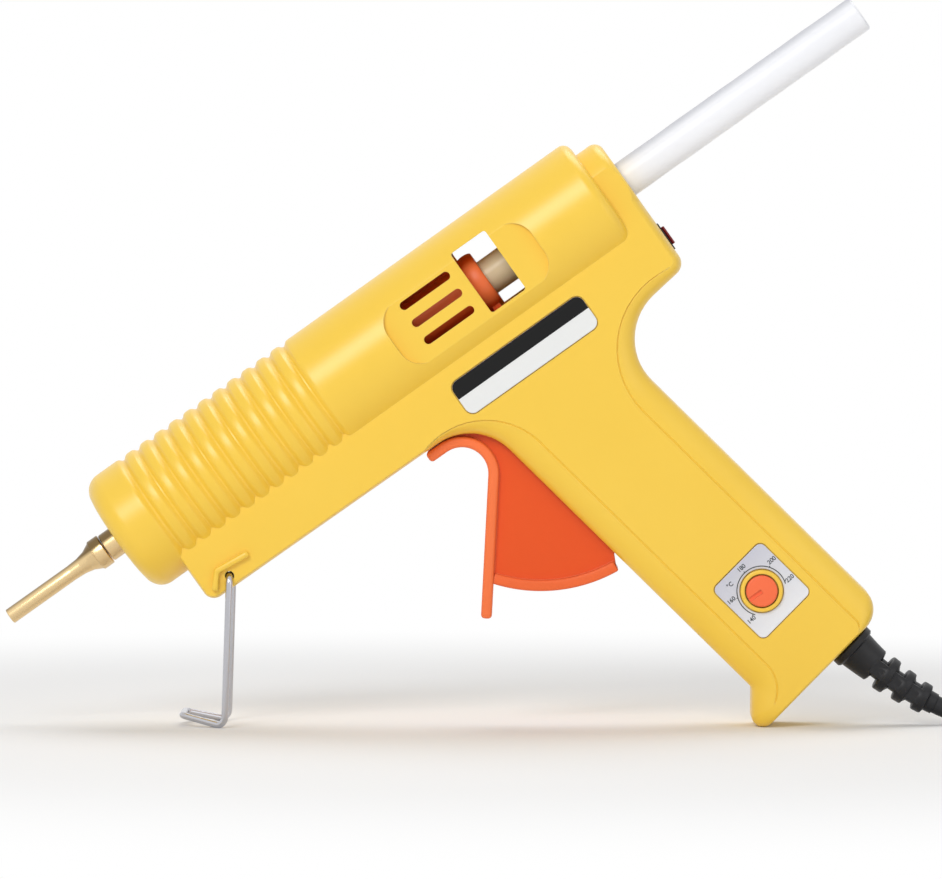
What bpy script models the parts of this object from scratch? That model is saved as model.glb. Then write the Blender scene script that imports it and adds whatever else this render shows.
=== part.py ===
# Hot glue applicator with a ribbed barrel, a trigger-fed stick carriage, a heat dial and a wire stand.
#
# The gun is built in its own frame and then tilted as it stands on a bench:
#   s runs back along the barrel from the nose face, y runs across, h runs up from the barrel axis.
# The left side is at -y and carries the dial and the plates. The right side is at +y and takes the screws.
# Lengths are in metres. +Z is up in the world, and the stand and the toe of the grip touch z = 0.

import math
from collections import namedtuple

import bmesh
import bpy
import numpy as np
from mathutils import Matrix, Vector

MM = 0.001

# How the gun stands
TILT = math.radians(35.4)  # barrel axis above the bench, nose down
LEG_LEAN = math.radians(1.9)  # stand legs, forward of upright
FOOT_RISE = math.radians(13.4)  # stand foot, above the bench
HANDLE_SLANT = math.radians(79.9)  # grip, below the barrel axis

# Fits
GAP = 0.3 * MM  # between neighbouring pieces
RUNNING_GAP = 0.35 * MM  # between pieces that slide or turn
PARTING = 0.15 * MM  # each housing half stops this far from the middle plane
OVERRUN = 5.0 * MM  # how far a cutter passes the faces it opens
LAP = 0.4 * MM  # how far joined shapes reach into each other

# Barrel
BARREL_R = 19.2 * MM
BARREL_LENGTH = 176.0 * MM
WALL = 2.4 * MM
NOSE_FACE_STEP = 7.2 * MM
NOSE_FACE_R = BARREL_R - NOSE_FACE_STEP
NOSE_MID_S = 1.5 * MM
NOSE_MID_STEP = 3.4 * MM
NOSE_MID_R = BARREL_R - NOSE_MID_STEP
NOSE_EDGE_S = 3.8 * MM
NOSE_EDGE_STEP = 0.9 * MM
NOSE_EDGE_R = BARREL_R - NOSE_EDGE_STEP
NOSE_LENGTH = 6.3 * MM
NOSE_HOLE_R = 6.0 * MM
BARREL_END_ROUND = 3.0 * MM
GROOVE_START = 18.1 * MM
GROOVE_PITCH = 5.2 * MM
GROOVE_WIDTH = 1.7 * MM
GROOVE_DEPTH = 0.8 * MM
COLLAR_STEP = 5.0 * MM
COLLAR_R = BARREL_R - COLLAR_STEP
COLLAR_ROUND = 3.0 * MM
COLLAR_LENGTH = 7.66 * MM
REAR_S = BARREL_LENGTH + COLLAR_LENGTH
CROTCH_AHEAD = 68.05 * MM  # where trigger, grip and keel meet, ahead of the barrel's end
CROTCH_S = BARREL_LENGTH - CROTCH_AHEAD
GROOVES_END_AHEAD = 32.65 * MM
GROOVES_END_S = CROTCH_S - GROOVES_END_AHEAD
GROOVE_COUNT = round((GROOVES_END_S - GROOVE_START) / GROOVE_PITCH) + 1

# Body under the barrel: keel, grip and tail
BODY_HALF_WIDTH = 12.8 * MM
KEEL_FRONT_S = 13.0 * MM
KEEL_DEPTH = 30.7 * MM
KEEL_ROUND = 3.5 * MM
CREASE_RUN = 17.95 * MM
CREASE_START_S = CROTCH_S - CREASE_RUN
CROTCH_DEPTH = 31.25 * MM
CROTCH_ROUND = 12.3 * MM
TOE_REACH = 11.9 * MM  # forward of the grip's front line
TOE_INNER_ROUND = 2.5 * MM
TOE_ROUND = 3.4 * MM
GRIP_LENGTH = 124.8 * MM  # down from the crotch
TOE_HEIGHT = 11.55 * MM
TOE_START = GRIP_LENGTH - TOE_HEIGHT
GRIP_DEPTH = 43.6 * MM
HEEL_ROUND = 7.5 * MM
NECK_DOWN = 11.3 * MM
NECK_ROUND = 17.6 * MM
TAIL_DEPTH = 30.58 * MM
TAIL_ROUND = 4.0 * MM
PLAIN_ROUND = 6.0 * MM

# How far the side faces stop short of the body's outline, where the edges are rounded over
CREASE_INSET = 8.0 * MM
CROTCH_INSET = 4.6 * MM
TOE_INSET = 3.0 * MM
TAIL_INSET = 2.2 * MM
EDGE_INSET = 0.8 * MM
LEVEL_WIDTH_SHARES = (1.0, 0.94, 0.80, 0.55, 0.28)
LEVEL_INSET_SHARES = (1.0, 0.66, 0.38, 0.15, 0.03)

# Cavity
CAVITY_TOP = 6.6 * MM  # below the barrel axis
GUIDE_RIB_AHEAD = 5.95 * MM
GUIDE_RIB_S = CROTCH_S - GUIDE_RIB_AHEAD
GUIDE_RIB_LENGTH = 4.0 * MM
PORT_RIB_AHEAD = 26.0 * MM
PORT_RIB_S = BARREL_LENGTH - PORT_RIB_AHEAD
PORT_RIB_LENGTH = 3.0 * MM
KEYWAY_HALF_WIDTH = 6.2 * MM
KEYWAY_DEPTH = 17.4 * MM
KEYWAY_AHEAD = 19.95 * MM
KEYWAY_START_S = CROTCH_S - KEYWAY_AHEAD
KEYWAY_LENGTH = 52.0 * MM
KEYWAY_END_S = KEYWAY_START_S + KEYWAY_LENGTH

# Recessed flat with the window and the slots
RECESS_DEPTH = 2.8 * MM
RECESS_Y = BARREL_R - RECESS_DEPTH
RECESS_AHEAD = 6.45 * MM
RECESS_START_S = CROTCH_S - RECESS_AHEAD
RECESS_LENGTH = 50.6 * MM
RECESS_END_S = RECESS_START_S + RECESS_LENGTH
RECESS_HALF_HEIGHT = 10.2 * MM
WINDOW_INSET = 28.0 * MM
WINDOW_START_S = RECESS_START_S + WINDOW_INSET
WINDOW_LENGTH = 12.2 * MM
WINDOW_END_S = WINDOW_START_S + WINDOW_LENGTH
WINDOW_LOW = -9.0 * MM
WINDOW_HIGH = 12.0 * MM
WINDOW_ROUND = 0.8 * MM
SLOT_INSET = 7.1 * MM
SLOT_START_S = RECESS_START_S + SLOT_INSET
SLOT_LENGTH = 17.4 * MM
SLOT_END_S = SLOT_START_S + SLOT_LENGTH
SLOT_HEIGHT = 2.6 * MM
SLOT_PITCH = 6.1 * MM
SLOT_MIDDLE_H = 1.5 * MM

# Glue stick
STICK_R = 5.6 * MM
STICK_LENGTH = 200.0 * MM
STICK_EDGE = 0.5 * MM
STICK_BORE_R = STICK_R + RUNNING_GAP

# Heater
CHAMBER_START_S = 4.0 * MM
CHAMBER_END_AHEAD = 35.95 * MM
CHAMBER_END_S = CROTCH_S - CHAMBER_END_AHEAD
STICK_IN_CHAMBER = 4.0 * MM
STICK_FRONT_S = CHAMBER_END_S - STICK_IN_CHAMBER
CHAMBER_WALL_SHARE = 3 / 7  # of the space between the stick's bore and the barrel's wall
CHAMBER_R = STICK_BORE_R + (BARREL_R - WALL - STICK_BORE_R) * CHAMBER_WALL_SHARE
CHAMBER_NOSE_R = 7.0 * MM
CHAMBER_NOSE_LENGTH = 6.0 * MM
SPIGOT_WALL = 2.25 * MM
CHAMBER_SPIGOT_R = STICK_BORE_R + SPIGOT_WALL
CHAMBER_SPIGOT_LENGTH = 5.0 * MM
CHAMBER_CONE_LENGTH = 12.0 * MM
THREAD_BORE_R = 4.7 * MM
THREAD_BORE_LENGTH = 9.0 * MM
PAD_START_S = 22.0 * MM
PAD_END_AHEAD = 18.0 * MM
PAD_LENGTH = CHAMBER_END_S - PAD_END_AHEAD - PAD_START_S
PAD_WIDTH_SHARE = 0.61  # of the chamber's width
PAD_HALF_WIDTH = CHAMBER_R * PAD_WIDTH_SHARE
PAD_RISE = 0.6 * MM
PAD_TOP = CHAMBER_R + PAD_RISE
ELEMENT_HEIGHT_SHARE = 0.45  # of the space over the chamber
ELEMENT_HEIGHT = (BARREL_R - WALL - CHAMBER_R) * ELEMENT_HEIGHT_SHARE
ELEMENT_INSET = 0.7 * MM
ELEMENT_HALF_WIDTH = PAD_HALF_WIDTH - ELEMENT_INSET
ELEMENT_MARGIN = 1.5 * MM
BRACKET_LENGTH = 3.0 * MM
FRONT_BRACKET_S = 13.0 * MM
REAR_BRACKET_AHEAD = 12.0 * MM
REAR_BRACKET_S = CHAMBER_END_S - REAR_BRACKET_AHEAD
CUTOUT_R = 3.2 * MM
CUTOUT_HEIGHT_SHARE = 0.58
CUTOUT_HEIGHT = (BARREL_R - WALL - CHAMBER_R) * CUTOUT_HEIGHT_SHARE
CUTOUT_INSET = 18.0 * MM
CUTOUT_S = PAD_START_S + CUTOUT_INSET

# Nozzle
NOZZLE_TIP_S = -38.3 * MM
NOZZLE_TUBE_R = 2.35 * MM
NOZZLE_FLARE_S = -14.0 * MM
NOZZLE_FLARE_MID_S = -9.6 * MM
NOZZLE_FLARE_MID_R = 3.0 * MM
NOZZLE_COLLAR_R = 4.8 * MM
NOZZLE_COLLAR_S = -7.3 * MM
NOZZLE_COLLAR_EDGE = 0.5 * MM
NOZZLE_BACK_S = -3.7 * MM
NOZZLE_BORE_R = 1.1 * MM
NOZZLE_TIP_EDGE = 0.35 * MM
ADAPTER_R = 4.4 * MM
ADAPTER_END_S = 12.0 * MM
ADAPTER_BORE_R = 1.8 * MM

# Feed sleeve and its clamp
SLEEVE_LENGTH = 10.5 * MM
SLEEVE_WALL = 2.65 * MM
SLEEVE_R = STICK_BORE_R + SLEEVE_WALL
CLAMP_INSET = 2.5 * MM
CLAMP_S = CHAMBER_END_S + CLAMP_INSET
CLAMP_LENGTH = 3.0 * MM
CLAMP_WALL = 1.5 * MM
CLAMP_R = SLEEVE_R + GAP + CLAMP_WALL

# Carriage that grips the stick
CARRIAGE_AHEAD = 9.95 * MM
CARRIAGE_START_S = CROTCH_S - CARRIAGE_AHEAD
CARRIAGE_LENGTH = 36.0 * MM
CARRIAGE_END_S = CARRIAGE_START_S + CARRIAGE_LENGTH
CARRIAGE_WALL = 1.8 * MM
CARRIAGE_R = STICK_BORE_R + CARRIAGE_WALL
CARRIAGE_RING_STEP = 1.65 * MM
CARRIAGE_RING_R = CARRIAGE_R + CARRIAGE_RING_STEP
CARRIAGE_RING_LENGTH = 5.0 * MM
FORK_WALL = 2.6 * MM
FORK_HALF_WIDTH = 5.0 * MM
FORK_DEPTH = 16.5 * MM
EAR_INSET = 8.5 * MM
EAR_START_S = CARRIAGE_START_S + EAR_INSET
EAR_LENGTH = 7.0 * MM
EAR_THICKNESS = 2.0 * MM
EAR_DEPTH = 13.2 * MM
PAWL_HALF_WIDTH = 2.7 * MM
PAWL_MARGIN = 0.8 * MM
PAWL_TOOTH = 0.6 * MM
PAWL_PIN_R = 1.0 * MM
PAWL_PIN_DEPTH = 10.6 * MM

# Trigger, placed behind, ahead of and below the crotch
PIVOT_BACK = 12.46 * MM
PIVOT_S = CROTCH_S + PIVOT_BACK
PIVOT_BELOW = 15.07 * MM
PIVOT_H = -CROTCH_DEPTH - PIVOT_BELOW
STROKE = math.radians(22.0)
LEVER_REACH = 34.0 * MM
LEVER_TIP_R = 3.0 * MM
LEVER_NECK_R = 1.8 * MM
LEVER_HALF_WIDTH = 2.5 * MM
HUB_R = 5.0 * MM
PIN_R = 2.0 * MM
PIN_END_INSET = 3.5 * MM
PIN_END_Y = BODY_HALF_WIDTH - PIN_END_INSET
BLADE_THICKNESS = 3.2 * MM
BLADE_HALF_WIDTH = 7.5 * MM
BLADE_ROUND = 9.3 * MM
BLADE_EDGE = 0.9 * MM
BLADE_TAB_AHEAD = 18.55 * MM
BLADE_TAB_S = CROTCH_S - BLADE_TAB_AHEAD
BLADE_TOP_BELOW = 1.9 * MM
BLADE_TOP_H = -CROTCH_DEPTH - BLADE_TOP_BELOW
BLADE_CORNER_BACK = 6.15 * MM
BLADE_CORNER_S = CROTCH_S + BLADE_CORNER_BACK
BLADE_TIP_AHEAD = 31.95 * MM
BLADE_TIP_S = CROTCH_S - BLADE_TIP_AHEAD
BLADE_TIP_BELOW = 50.05 * MM
BLADE_TIP_H = -CROTCH_DEPTH - BLADE_TIP_BELOW
WEB_HALF_WIDTH = 5.4 * MM
WEB_TOP_AHEAD = 10.55 * MM
WEB_TOP_S = CROTCH_S - WEB_TOP_AHEAD
WEB_TOP_BELOW = 2.95 * MM
WEB_TOP_H = -CROTCH_DEPTH - WEB_TOP_BELOW
WEB_SHOULDER_BACK = 4.05 * MM
WEB_SHOULDER_S = CROTCH_S + WEB_SHOULDER_BACK
WEB_SHOULDER_BELOW = 7.15 * MM
WEB_SHOULDER_H = -CROTCH_DEPTH - WEB_SHOULDER_BELOW
WEB_FOOT_BACK = 9.65 * MM
WEB_BACK_S = CROTCH_S + WEB_FOOT_BACK
WEB_FOOT_BELOW = 55.85 * MM
WEB_BACK_H = -CROTCH_DEPTH - WEB_FOOT_BELOW
FAN_R = 46.2 * MM
FAN_RIM = 3.2 * MM
FAN_RIM_HALF_WIDTH = 6.5 * MM
FAN_START = math.radians(218.5)
FAN_END = math.radians(264.4)
SPRING_POCKET_R = 7.6 * MM
TRIGGER_SLOT_HALF_WIDTH = 7.1 * MM
TRIGGER_SLOT_AHEAD = 11.95 * MM
TRIGGER_SLOT_FRONT_S = CROTCH_S - TRIGGER_SLOT_AHEAD
TRIGGER_SLOT_RISE = 5.25 * MM
TRIGGER_SLOT_TOP_H = -CROTCH_DEPTH + TRIGGER_SLOT_RISE
TRIGGER_SLOT_START = math.radians(215.0)
TRIGGER_SLOT_END = math.radians(276.0)
PIVOT_BOSS_R = 4.4 * MM
PIVOT_BOSS_Y = 7.3 * MM

# Return spring on the trigger pin
SPRING_WIRE = 0.8 * MM
SPRING_MEAN_R = 3.3 * MM
SPRING_PITCH = 1.25 * MM
SPRING_TURNS = 2
SPRING_START_Y = 3.6 * MM
SPRING_LEG = 3.4 * MM
SPRING_POINTS_A_TURN = 10

# Screws, and the posts that take them
SCREW_HEAD_R = 2.8 * MM
SCREW_HEAD_HEIGHT = 2.0 * MM
SCREW_SHANK_R = 1.45 * MM
SCREW_SEAT_INSET = 6.8 * MM
SCREW_SEAT_Y = BODY_HALF_WIDTH - SCREW_SEAT_INSET
SCREW_DEPTH_Y = 5.5 * MM
SCREW_SLOT_WIDTH = 0.8 * MM
SCREW_SLOT_DEPTH = 0.9 * MM
SCREW_SLOT_LENGTH = 3.6 * MM
POST_R = 4.2 * MM
COUNTERBORE_R = 3.3 * MM
KEEL_SCREW_RISE = 7.3 * MM
KEEL_SCREW_DEPTH = KEEL_DEPTH - KEEL_SCREW_RISE
FRONT_SCREW_S = 38.0 * MM
MIDDLE_SCREW_AHEAD = 23.95 * MM
MIDDLE_SCREW_S = CROTCH_S - MIDDLE_SCREW_AHEAD
TAIL_SCREW_AHEAD = 21.16 * MM
TAIL_SCREW_S = REAR_S - TAIL_SCREW_AHEAD
GRIP_SCREW_RISE = 66.8 * MM
GRIP_SCREW_DOWN = GRIP_LENGTH - GRIP_SCREW_RISE
GRIP_SCREW_BACK = 30.0 * MM
TOE_SCREW_RISE = 12.3 * MM
TOE_SCREW_DOWN = GRIP_LENGTH - TOE_SCREW_RISE
TOE_SCREW_BACK = 12.0 * MM
HEEL_SCREW_RISE = 16.4 * MM
HEEL_SCREW_DOWN = GRIP_LENGTH - HEEL_SCREW_RISE
HEEL_SCREW_BACK = 31.5 * MM

# Dial
DIAL_RISE = 29.7 * MM
DIAL_DOWN = GRIP_LENGTH - DIAL_RISE
DIAL_BACK = 22.4 * MM
DIAL_PLATE_LENGTH = 20.4 * MM
DIAL_PLATE_WIDTH = 19.3 * MM
DIAL_PLATE_ROUND = 2.6 * MM
DIAL_COLLAR_R = 6.2 * MM
DIAL_COLLAR_WALL = 1.2 * MM
DIAL_COLLAR_PROUD = 1.6 * MM
KNOB_R = 4.6 * MM
KNOB_PROUD = 2.5 * MM
KNOB_BACK_PROUD = 0.5 * MM
KNOB_NOTCH_WIDTH = 1.2 * MM
KNOB_NOTCH_DEPTH = 0.8 * MM
POT_R = 8.0 * MM
POT_DEPTH = 6.6 * MM
POT_BUSH_R = 3.2 * MM
POT_SHAFT_R = 2.0 * MM
POT_SHAFT_PROUD = 1.5 * MM
BOARD_THICKNESS = 1.6 * MM
BOARD_ABOVE = 21.1 * MM
BOARD_TOP_DOWN = DIAL_DOWN - BOARD_ABOVE
BOARD_BELOW = 8.0 * MM
BOARD_BOTTOM_DOWN = DIAL_DOWN + BOARD_BELOW
BOARD_FRONT_BACK = 10.0 * MM
BOARD_REAR_BACK = 34.5 * MM

# Plates
PLATE_RECESS = 0.6 * MM
PLATE_THICKNESS = 0.45 * MM
PLATE_GAP = 0.3 * MM
NAME_PLATE_BACK = 22.13 * MM
NAME_PLATE_S = CROTCH_S + NAME_PLATE_BACK
NAME_PLATE_RISE = 6.67 * MM
NAME_PLATE_H = -CROTCH_DEPTH + NAME_PLATE_RISE
NAME_PLATE_LENGTH = 46.5 * MM
NAME_PLATE_HEIGHT = 11.0 * MM
NAME_PLATE_ROUND = 2.5 * MM

# Rear rocker switch
SWITCH_RISE = 10.13 * MM
SWITCH_H = -TAIL_DEPTH + SWITCH_RISE
SWITCH_HALF_HEIGHT = 4.45 * MM
SWITCH_HALF_WIDTH = 6.6 * MM
SWITCH_DEPTH = 12.0 * MM
SWITCH_PROUD = 0.4 * MM
SWITCH_WALL = 1.1 * MM
ROCKER_DEPTH = 3.4 * MM
ROCKER_PROUD = 0.9 * MM
ROCKER_TILT = math.radians(6.0)

# Wire stand
WIRE_R = 1.0 * MM
STAND_INSET = 9.31 * MM
STAND_S = KEEL_FRONT_S + STAND_INSET
STAND_RISE = 3.44 * MM
STAND_H = -KEEL_DEPTH + STAND_RISE
LEG_CLEARANCE = 1.5 * MM
LEG_Y = BODY_HALF_WIDTH + LEG_CLEARANCE
STAND_PIN_INSET = 3.6 * MM
STAND_PIN_END_Y = BODY_HALF_WIDTH - STAND_PIN_INSET
FOOT_LENGTH = 12.9 * MM
CROSS_BAR_HALF_WIDTH = 8.6 * MM
STAND_BEND = 2.4 * MM
STAND_BOSS_R = 3.3 * MM
STAND_BOSS_DEPTH = 4.6 * MM
STAND_BOSS_Y = BODY_HALF_WIDTH - STAND_BOSS_DEPTH
CLIP_WIDTH = 2.0 * MM
CLIP_PROUD = 2.0 * MM
CLIP_CORNER_AHEAD = 2.21 * MM
CLIP_CORNER_RISE = 3.36 * MM
CLIP_FRONT_AHEAD = 6.01 * MM
CLIP_FRONT_DROP = 1.14 * MM
CLIP_BACK = 8.39 * MM
CLIP_BACK_RISE = 2.26 * MM

# Strain relief and cord
CORD_R = 2.75 * MM
RELIEF_BACK = 29.2 * MM
RELIEF_NECK_R = 4.4 * MM
RELIEF_FLANGE_R = 7.0 * MM
RELIEF_FLANGE_LENGTH = 2.6 * MM
RELIEF_CONE_R = 6.0 * MM
RELIEF_CONE_LENGTH = 8.5 * MM
RELIEF_INSIDE = 6.0 * MM
RELIEF_COUNT = 4
RELIEF_PITCH = 5.0 * MM
RELIEF_FIN_R = 5.6 * MM
RELIEF_LAST_FIN_R = 4.6 * MM
RELIEF_CORE_R = 3.7 * MM
RELIEF_GROOVE_SHARES = (0.08, 0.38)  # of the pitch: where the groove before a fin starts and ends
RELIEF_FIN_SHARES = (0.46, 0.92)  # of the pitch: where the fin starts and ends
RELIEF_FIN_TAPER_SHARE = 0.94
RELIEF_BEND = math.radians(17.5)
CORD_ON_FLOOR = 3.0 * MM
CORD_STUB = 2.75 * MM
LEAD_SWING = 46.0 * MM
TAIL_SWING = 46.0 * MM
HANK_END_R = 16.6 * MM
HANK_RUN = 82.5 * MM
HANK_CLIMB = 45.0 * MM
HANK_PITCH = 6.3 * MM
HANK_TURNS = 5
HANK_BEND_POINTS = 8
HANK_RUN_POINTS = 3
HANK_CLIMB_POINTS = 5
HANK_POINTS_A_TURN = HANK_BEND_POINTS * 2 + HANK_RUN_POINTS + HANK_CLIMB_POINTS
SWING_POINTS = 8
PLUG_LENGTH = 36.0 * MM
PLUG_WIDTH = 35.0 * MM
PLUG_HEIGHT = 13.7 * MM
PLUG_SHOULDER = 13.0 * MM
PLUG_WAIST_SHARE = 0.42
PLUG_NECK_R = 4.2 * MM
PLUG_NECK_LENGTH = 9.0 * MM
PLUG_ROUND = 6.5 * MM
PLUG_PIN_R = 2.0 * MM
PLUG_PIN_LENGTH = 19.0 * MM
PLUG_PIN_SPACING = 19.0 * MM

# Facets
ROUND_SEGMENTS = 28
SMALL_SEGMENTS = 16
PIN_SEGMENTS = 12
CORNER_STEPS = 3
SHARP_ANGLE = math.radians(32.0)
CLOSE = 0.00001

Corner = namedtuple("Corner", "s h radius before after")


# Scene and materials


def clear_scene():
    for item in list(bpy.data.objects):
        bpy.data.objects.remove(item, do_unlink=True)


def linear(value):
    return value / 12.92 if value <= 0.04045 else ((value + 0.055) / 1.055) ** 2.4


def material(name, colour, roughness, metallic=0.0):
    """A plain surface; the colour is as it looks on a screen, from 0 to 255."""
    made = bpy.data.materials.get(name) or bpy.data.materials.new(name)
    made.use_nodes = True
    shader = made.node_tree.nodes["Principled BSDF"]
    rgb = [linear(part / 255) for part in colour]
    shader.inputs["Base Color"].default_value = (*rgb, 1.0)
    shader.inputs["Roughness"].default_value = roughness
    shader.inputs["Metallic"].default_value = metallic
    return made


def empty(name, location, parent=None):
    made = bpy.data.objects.new(name, None)
    bpy.context.scene.collection.objects.link(made)
    made.empty_display_size = COLLAR_R
    made.parent = parent
    made.location = location
    return made


# Shapes


def new_object(name, mesh):
    made = bpy.data.objects.new(name, mesh)
    bpy.context.scene.collection.objects.link(made)
    return made


def from_bmesh(name, shape):
    bmesh.ops.remove_doubles(shape, verts=shape.verts, dist=CLOSE)
    bmesh.ops.recalc_face_normals(shape, faces=shape.faces)
    mesh = bpy.data.meshes.new(name)
    shape.to_mesh(mesh)
    shape.free()
    return new_object(name, mesh)


def turned(name, profile, segments=ROUND_SEGMENTS, closed=False):
    """A solid turned about the barrel axis from (s, radius) points; a closed profile makes a ring."""
    shape = bmesh.new()
    verts = [shape.verts.new((s, 0, radius)) for s, radius in profile]
    edges = [shape.edges.new(pair) for pair in zip(verts, verts[1:])]
    if closed:
        edges.append(shape.edges.new((verts[-1], verts[0])))
    bmesh.ops.spin(
        shape,
        geom=verts + edges,
        axis=(1, 0, 0),
        cent=(0, 0, 0),
        steps=segments,
        angle=math.tau,
        use_merge=True,
    )
    return from_bmesh(name, shape)


def rod(name, s, h, y_low, y_high, radius, segments=SMALL_SEGMENTS):
    """A round bar that lies across the gun."""
    return prism(name, circle(s, h, radius, segments), y_low, y_high)


def circle(s, h, radius, segments):
    turns = [math.tau * (index + 0.5) / segments for index in range(segments)]
    return [(s + radius * math.cos(turn), h + radius * math.sin(turn)) for turn in turns]


def prism(name, outline, y_low, y_high):
    """An outline of (s, h) points extruded across the gun."""
    shape = bmesh.new()
    face = shape.faces.new([shape.verts.new((s, y_low, h)) for s, h in outline])
    grown = bmesh.ops.extrude_face_region(shape, geom=[face])["geom"]
    moved = [item for item in grown if isinstance(item, bmesh.types.BMVert)]
    bmesh.ops.translate(shape, verts=moved, vec=(0, y_high - y_low, 0))
    return from_bmesh(name, shape)


def block(name, low, high):
    """A box between two opposite corners (s, y, h)."""
    outline = [(low[0], low[2]), (high[0], low[2]), (high[0], high[2]), (low[0], high[2])]
    return prism(name, outline, low[1], high[1])


def loft(name, rings):
    """A solid through rings of as many points each, closed flat at both ends."""
    shape = bmesh.new()
    loops = [[shape.verts.new(point) for point in ring] for ring in rings]
    shape.faces.new(loops[0])
    shape.faces.new(list(reversed(loops[-1])))
    for near, far in zip(loops, loops[1:]):
        for index in range(len(near)):
            following = (index + 1) % len(near)
            shape.faces.new((near[index], far[index], far[following], near[following]))
    bmesh.ops.triangulate(shape, faces=[face for face in shape.faces if len(face.verts) == 4])
    return from_bmesh(name, shape)


def tube(name, points, radius, resolution, parent=None):
    """A round bar along a path of points, closed at its ends."""
    curve = bpy.data.curves.new(name, "CURVE")
    curve.dimensions = "3D"
    curve.bevel_depth = radius
    curve.bevel_resolution = resolution
    curve.use_fill_caps = True
    spline = curve.splines.new("POLY")
    spline.points.add(len(points) - 1)
    for target, point in zip(spline.points, points):
        target.co = (*point, 1)
    made = new_object(name, curve)
    made.parent = parent
    return made


def rounded(corners, steps=CORNER_STEPS):
    """An outline with its corners rounded; each corner is (s, h, radius)."""
    points = []
    for index, (s, h, radius) in enumerate(corners):
        here = Vector((s, h))
        before = Vector(corners[index - 1][:2]) - here
        after = Vector(corners[(index + 1) % len(corners)][:2]) - here
        opening = before.angle(after)
        if radius < CLOSE or math.pi - opening < math.radians(0.5):
            points += [(s, h)] * (steps + 1 if radius >= CLOSE else 1)
            continue
        points += fillet(here, before.normalized(), after.normalized(), opening, radius, steps)
    return points


def fillet(corner, before, after, opening, radius, steps):
    """The arc that rounds one corner."""
    centre = corner + (before + after).normalized() * radius / math.sin(opening / 2)
    first = corner + before * radius / math.tan(opening / 2) - centre
    last = corner + after * radius / math.tan(opening / 2) - centre
    sweep = first.angle_signed(last)
    arc = []
    for step in range(steps + 1):
        arm = Matrix.Rotation(-sweep * step / steps, 2) @ first
        arc.append(tuple(centre + arm))
    return arc


def inset_corners(corners, share, margin):
    """The same corners moved into the solid, each side by its own inset times the share, plus the margin."""
    sides = []
    for index, start in enumerate(corners):
        end = corners[(index + 1) % len(corners)]
        first, last = Vector((start.s, start.h)), Vector((end.s, end.h))
        inward = (last - first).normalized().orthogonal()
        first = first + inward * (start.after * share + margin)
        last = last + inward * (end.before * share + margin)
        sides.append((first, last))
    moved = []
    for index, corner in enumerate(corners):
        point = meeting(sides[index - 1], sides[index])
        depth = (corner.before + corner.after) / 2 * share + margin
        radius = corner.radius + depth if is_hollow(corners, index) else corner.radius - depth
        moved.append((point.x, point.y, max(radius, corner.radius / 4)))
    return moved


def meeting(before, after):
    """Where two sides cross, or the shared end of two sides that run in one line."""
    one, two = before[1] - before[0], after[1] - after[0]
    cross = one.x * two.y - one.y * two.x
    if abs(cross) < one.length * two.length * math.sin(math.radians(0.5)):
        return (before[1] + after[0]) / 2
    apart = after[0] - before[0]
    return before[0] + one * (apart.x * two.y - apart.y * two.x) / cross


def is_hollow(corners, index):
    """Whether the outline, which runs anticlockwise, turns the other way at this corner."""
    here = corners[index]
    before = corners[index - 1]
    after = corners[(index + 1) % len(corners)]
    turn = (here.s - before.s) * (after.h - here.h) - (here.h - before.h) * (after.s - here.s)
    return turn < 0


def strip(path, thickness):
    """The outline of a strip of even thickness along a path."""
    sides = ([], [])
    for index, point in enumerate(path):
        before = Vector(path[max(index - 1, 0)])
        after = Vector(path[min(index + 1, len(path) - 1)])
        across = (after - before).normalized().orthogonal() * thickness / 2
        sides[0].append(tuple(Vector(point) + across))
        sides[1].append(tuple(Vector(point) - across))
    return sides[0] + sides[1][::-1]


def bend_path(points, radius, steps=CORNER_STEPS):
    """A path in space with round bends at its inner points."""
    path = [Vector(points[0])]
    for before, here, after in zip(points, points[1:], points[2:]):
        corner = Vector(here)
        back, on = Vector(before) - corner, Vector(after) - corner
        opening = back.angle(on)
        reach = radius / math.tan(opening / 2)
        first, last = corner + back.normalized() * reach, corner + on.normalized() * reach
        middle = (back.normalized() + on.normalized()).normalized()
        centre = corner + middle * radius / math.sin(opening / 2)
        for step in range(steps + 1):
            arm = (first - centre).normalized().slerp((last - centre).normalized(), step / steps)
            path.append(centre + arm * radius)
    path.append(Vector(points[-1]))
    return path


# Joining and cutting


def combine(target, tools, operation, solver="EXACT"):
    """Joins the tools to the target or cuts them out of it, and takes the tools away."""
    for tool in tools:
        step = target.modifiers.new(tool.name, "BOOLEAN")
        step.object = tool
        step.operation = operation
        step.solver = solver
        graph = bpy.context.evaluated_depsgraph_get()
        mesh = bpy.data.meshes.new_from_object(target.evaluated_get(graph))
        target.modifiers.clear()
        target.data = mesh
        bpy.data.objects.remove(tool, do_unlink=True)
    return target


def join(target, *tools):
    return combine(target, tools, "UNION")


def cut(target, *tools):
    return combine(target, tools, "DIFFERENCE")


def join_half(half, *tools):
    """A union on a housing half, whose thin walls and flush posts need the manifold solver."""
    return combine(half, tools, "UNION", "MANIFOLD")


def cut_half(half, *tools):
    return combine(half, tools, "DIFFERENCE", "MANIFOLD")


def bevelled(made, width, angle=math.radians(50.0)):
    """Breaks the sharp edges of a piece."""
    step = made.modifiers.new("edges", "BEVEL")
    step.width = width
    step.segments = 1
    step.limit_method = "ANGLE"
    step.angle_limit = angle
    graph = bpy.context.evaluated_depsgraph_get()
    mesh = bpy.data.meshes.new_from_object(made.evaluated_get(graph))
    made.modifiers.clear()
    made.data = mesh
    return made


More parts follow.
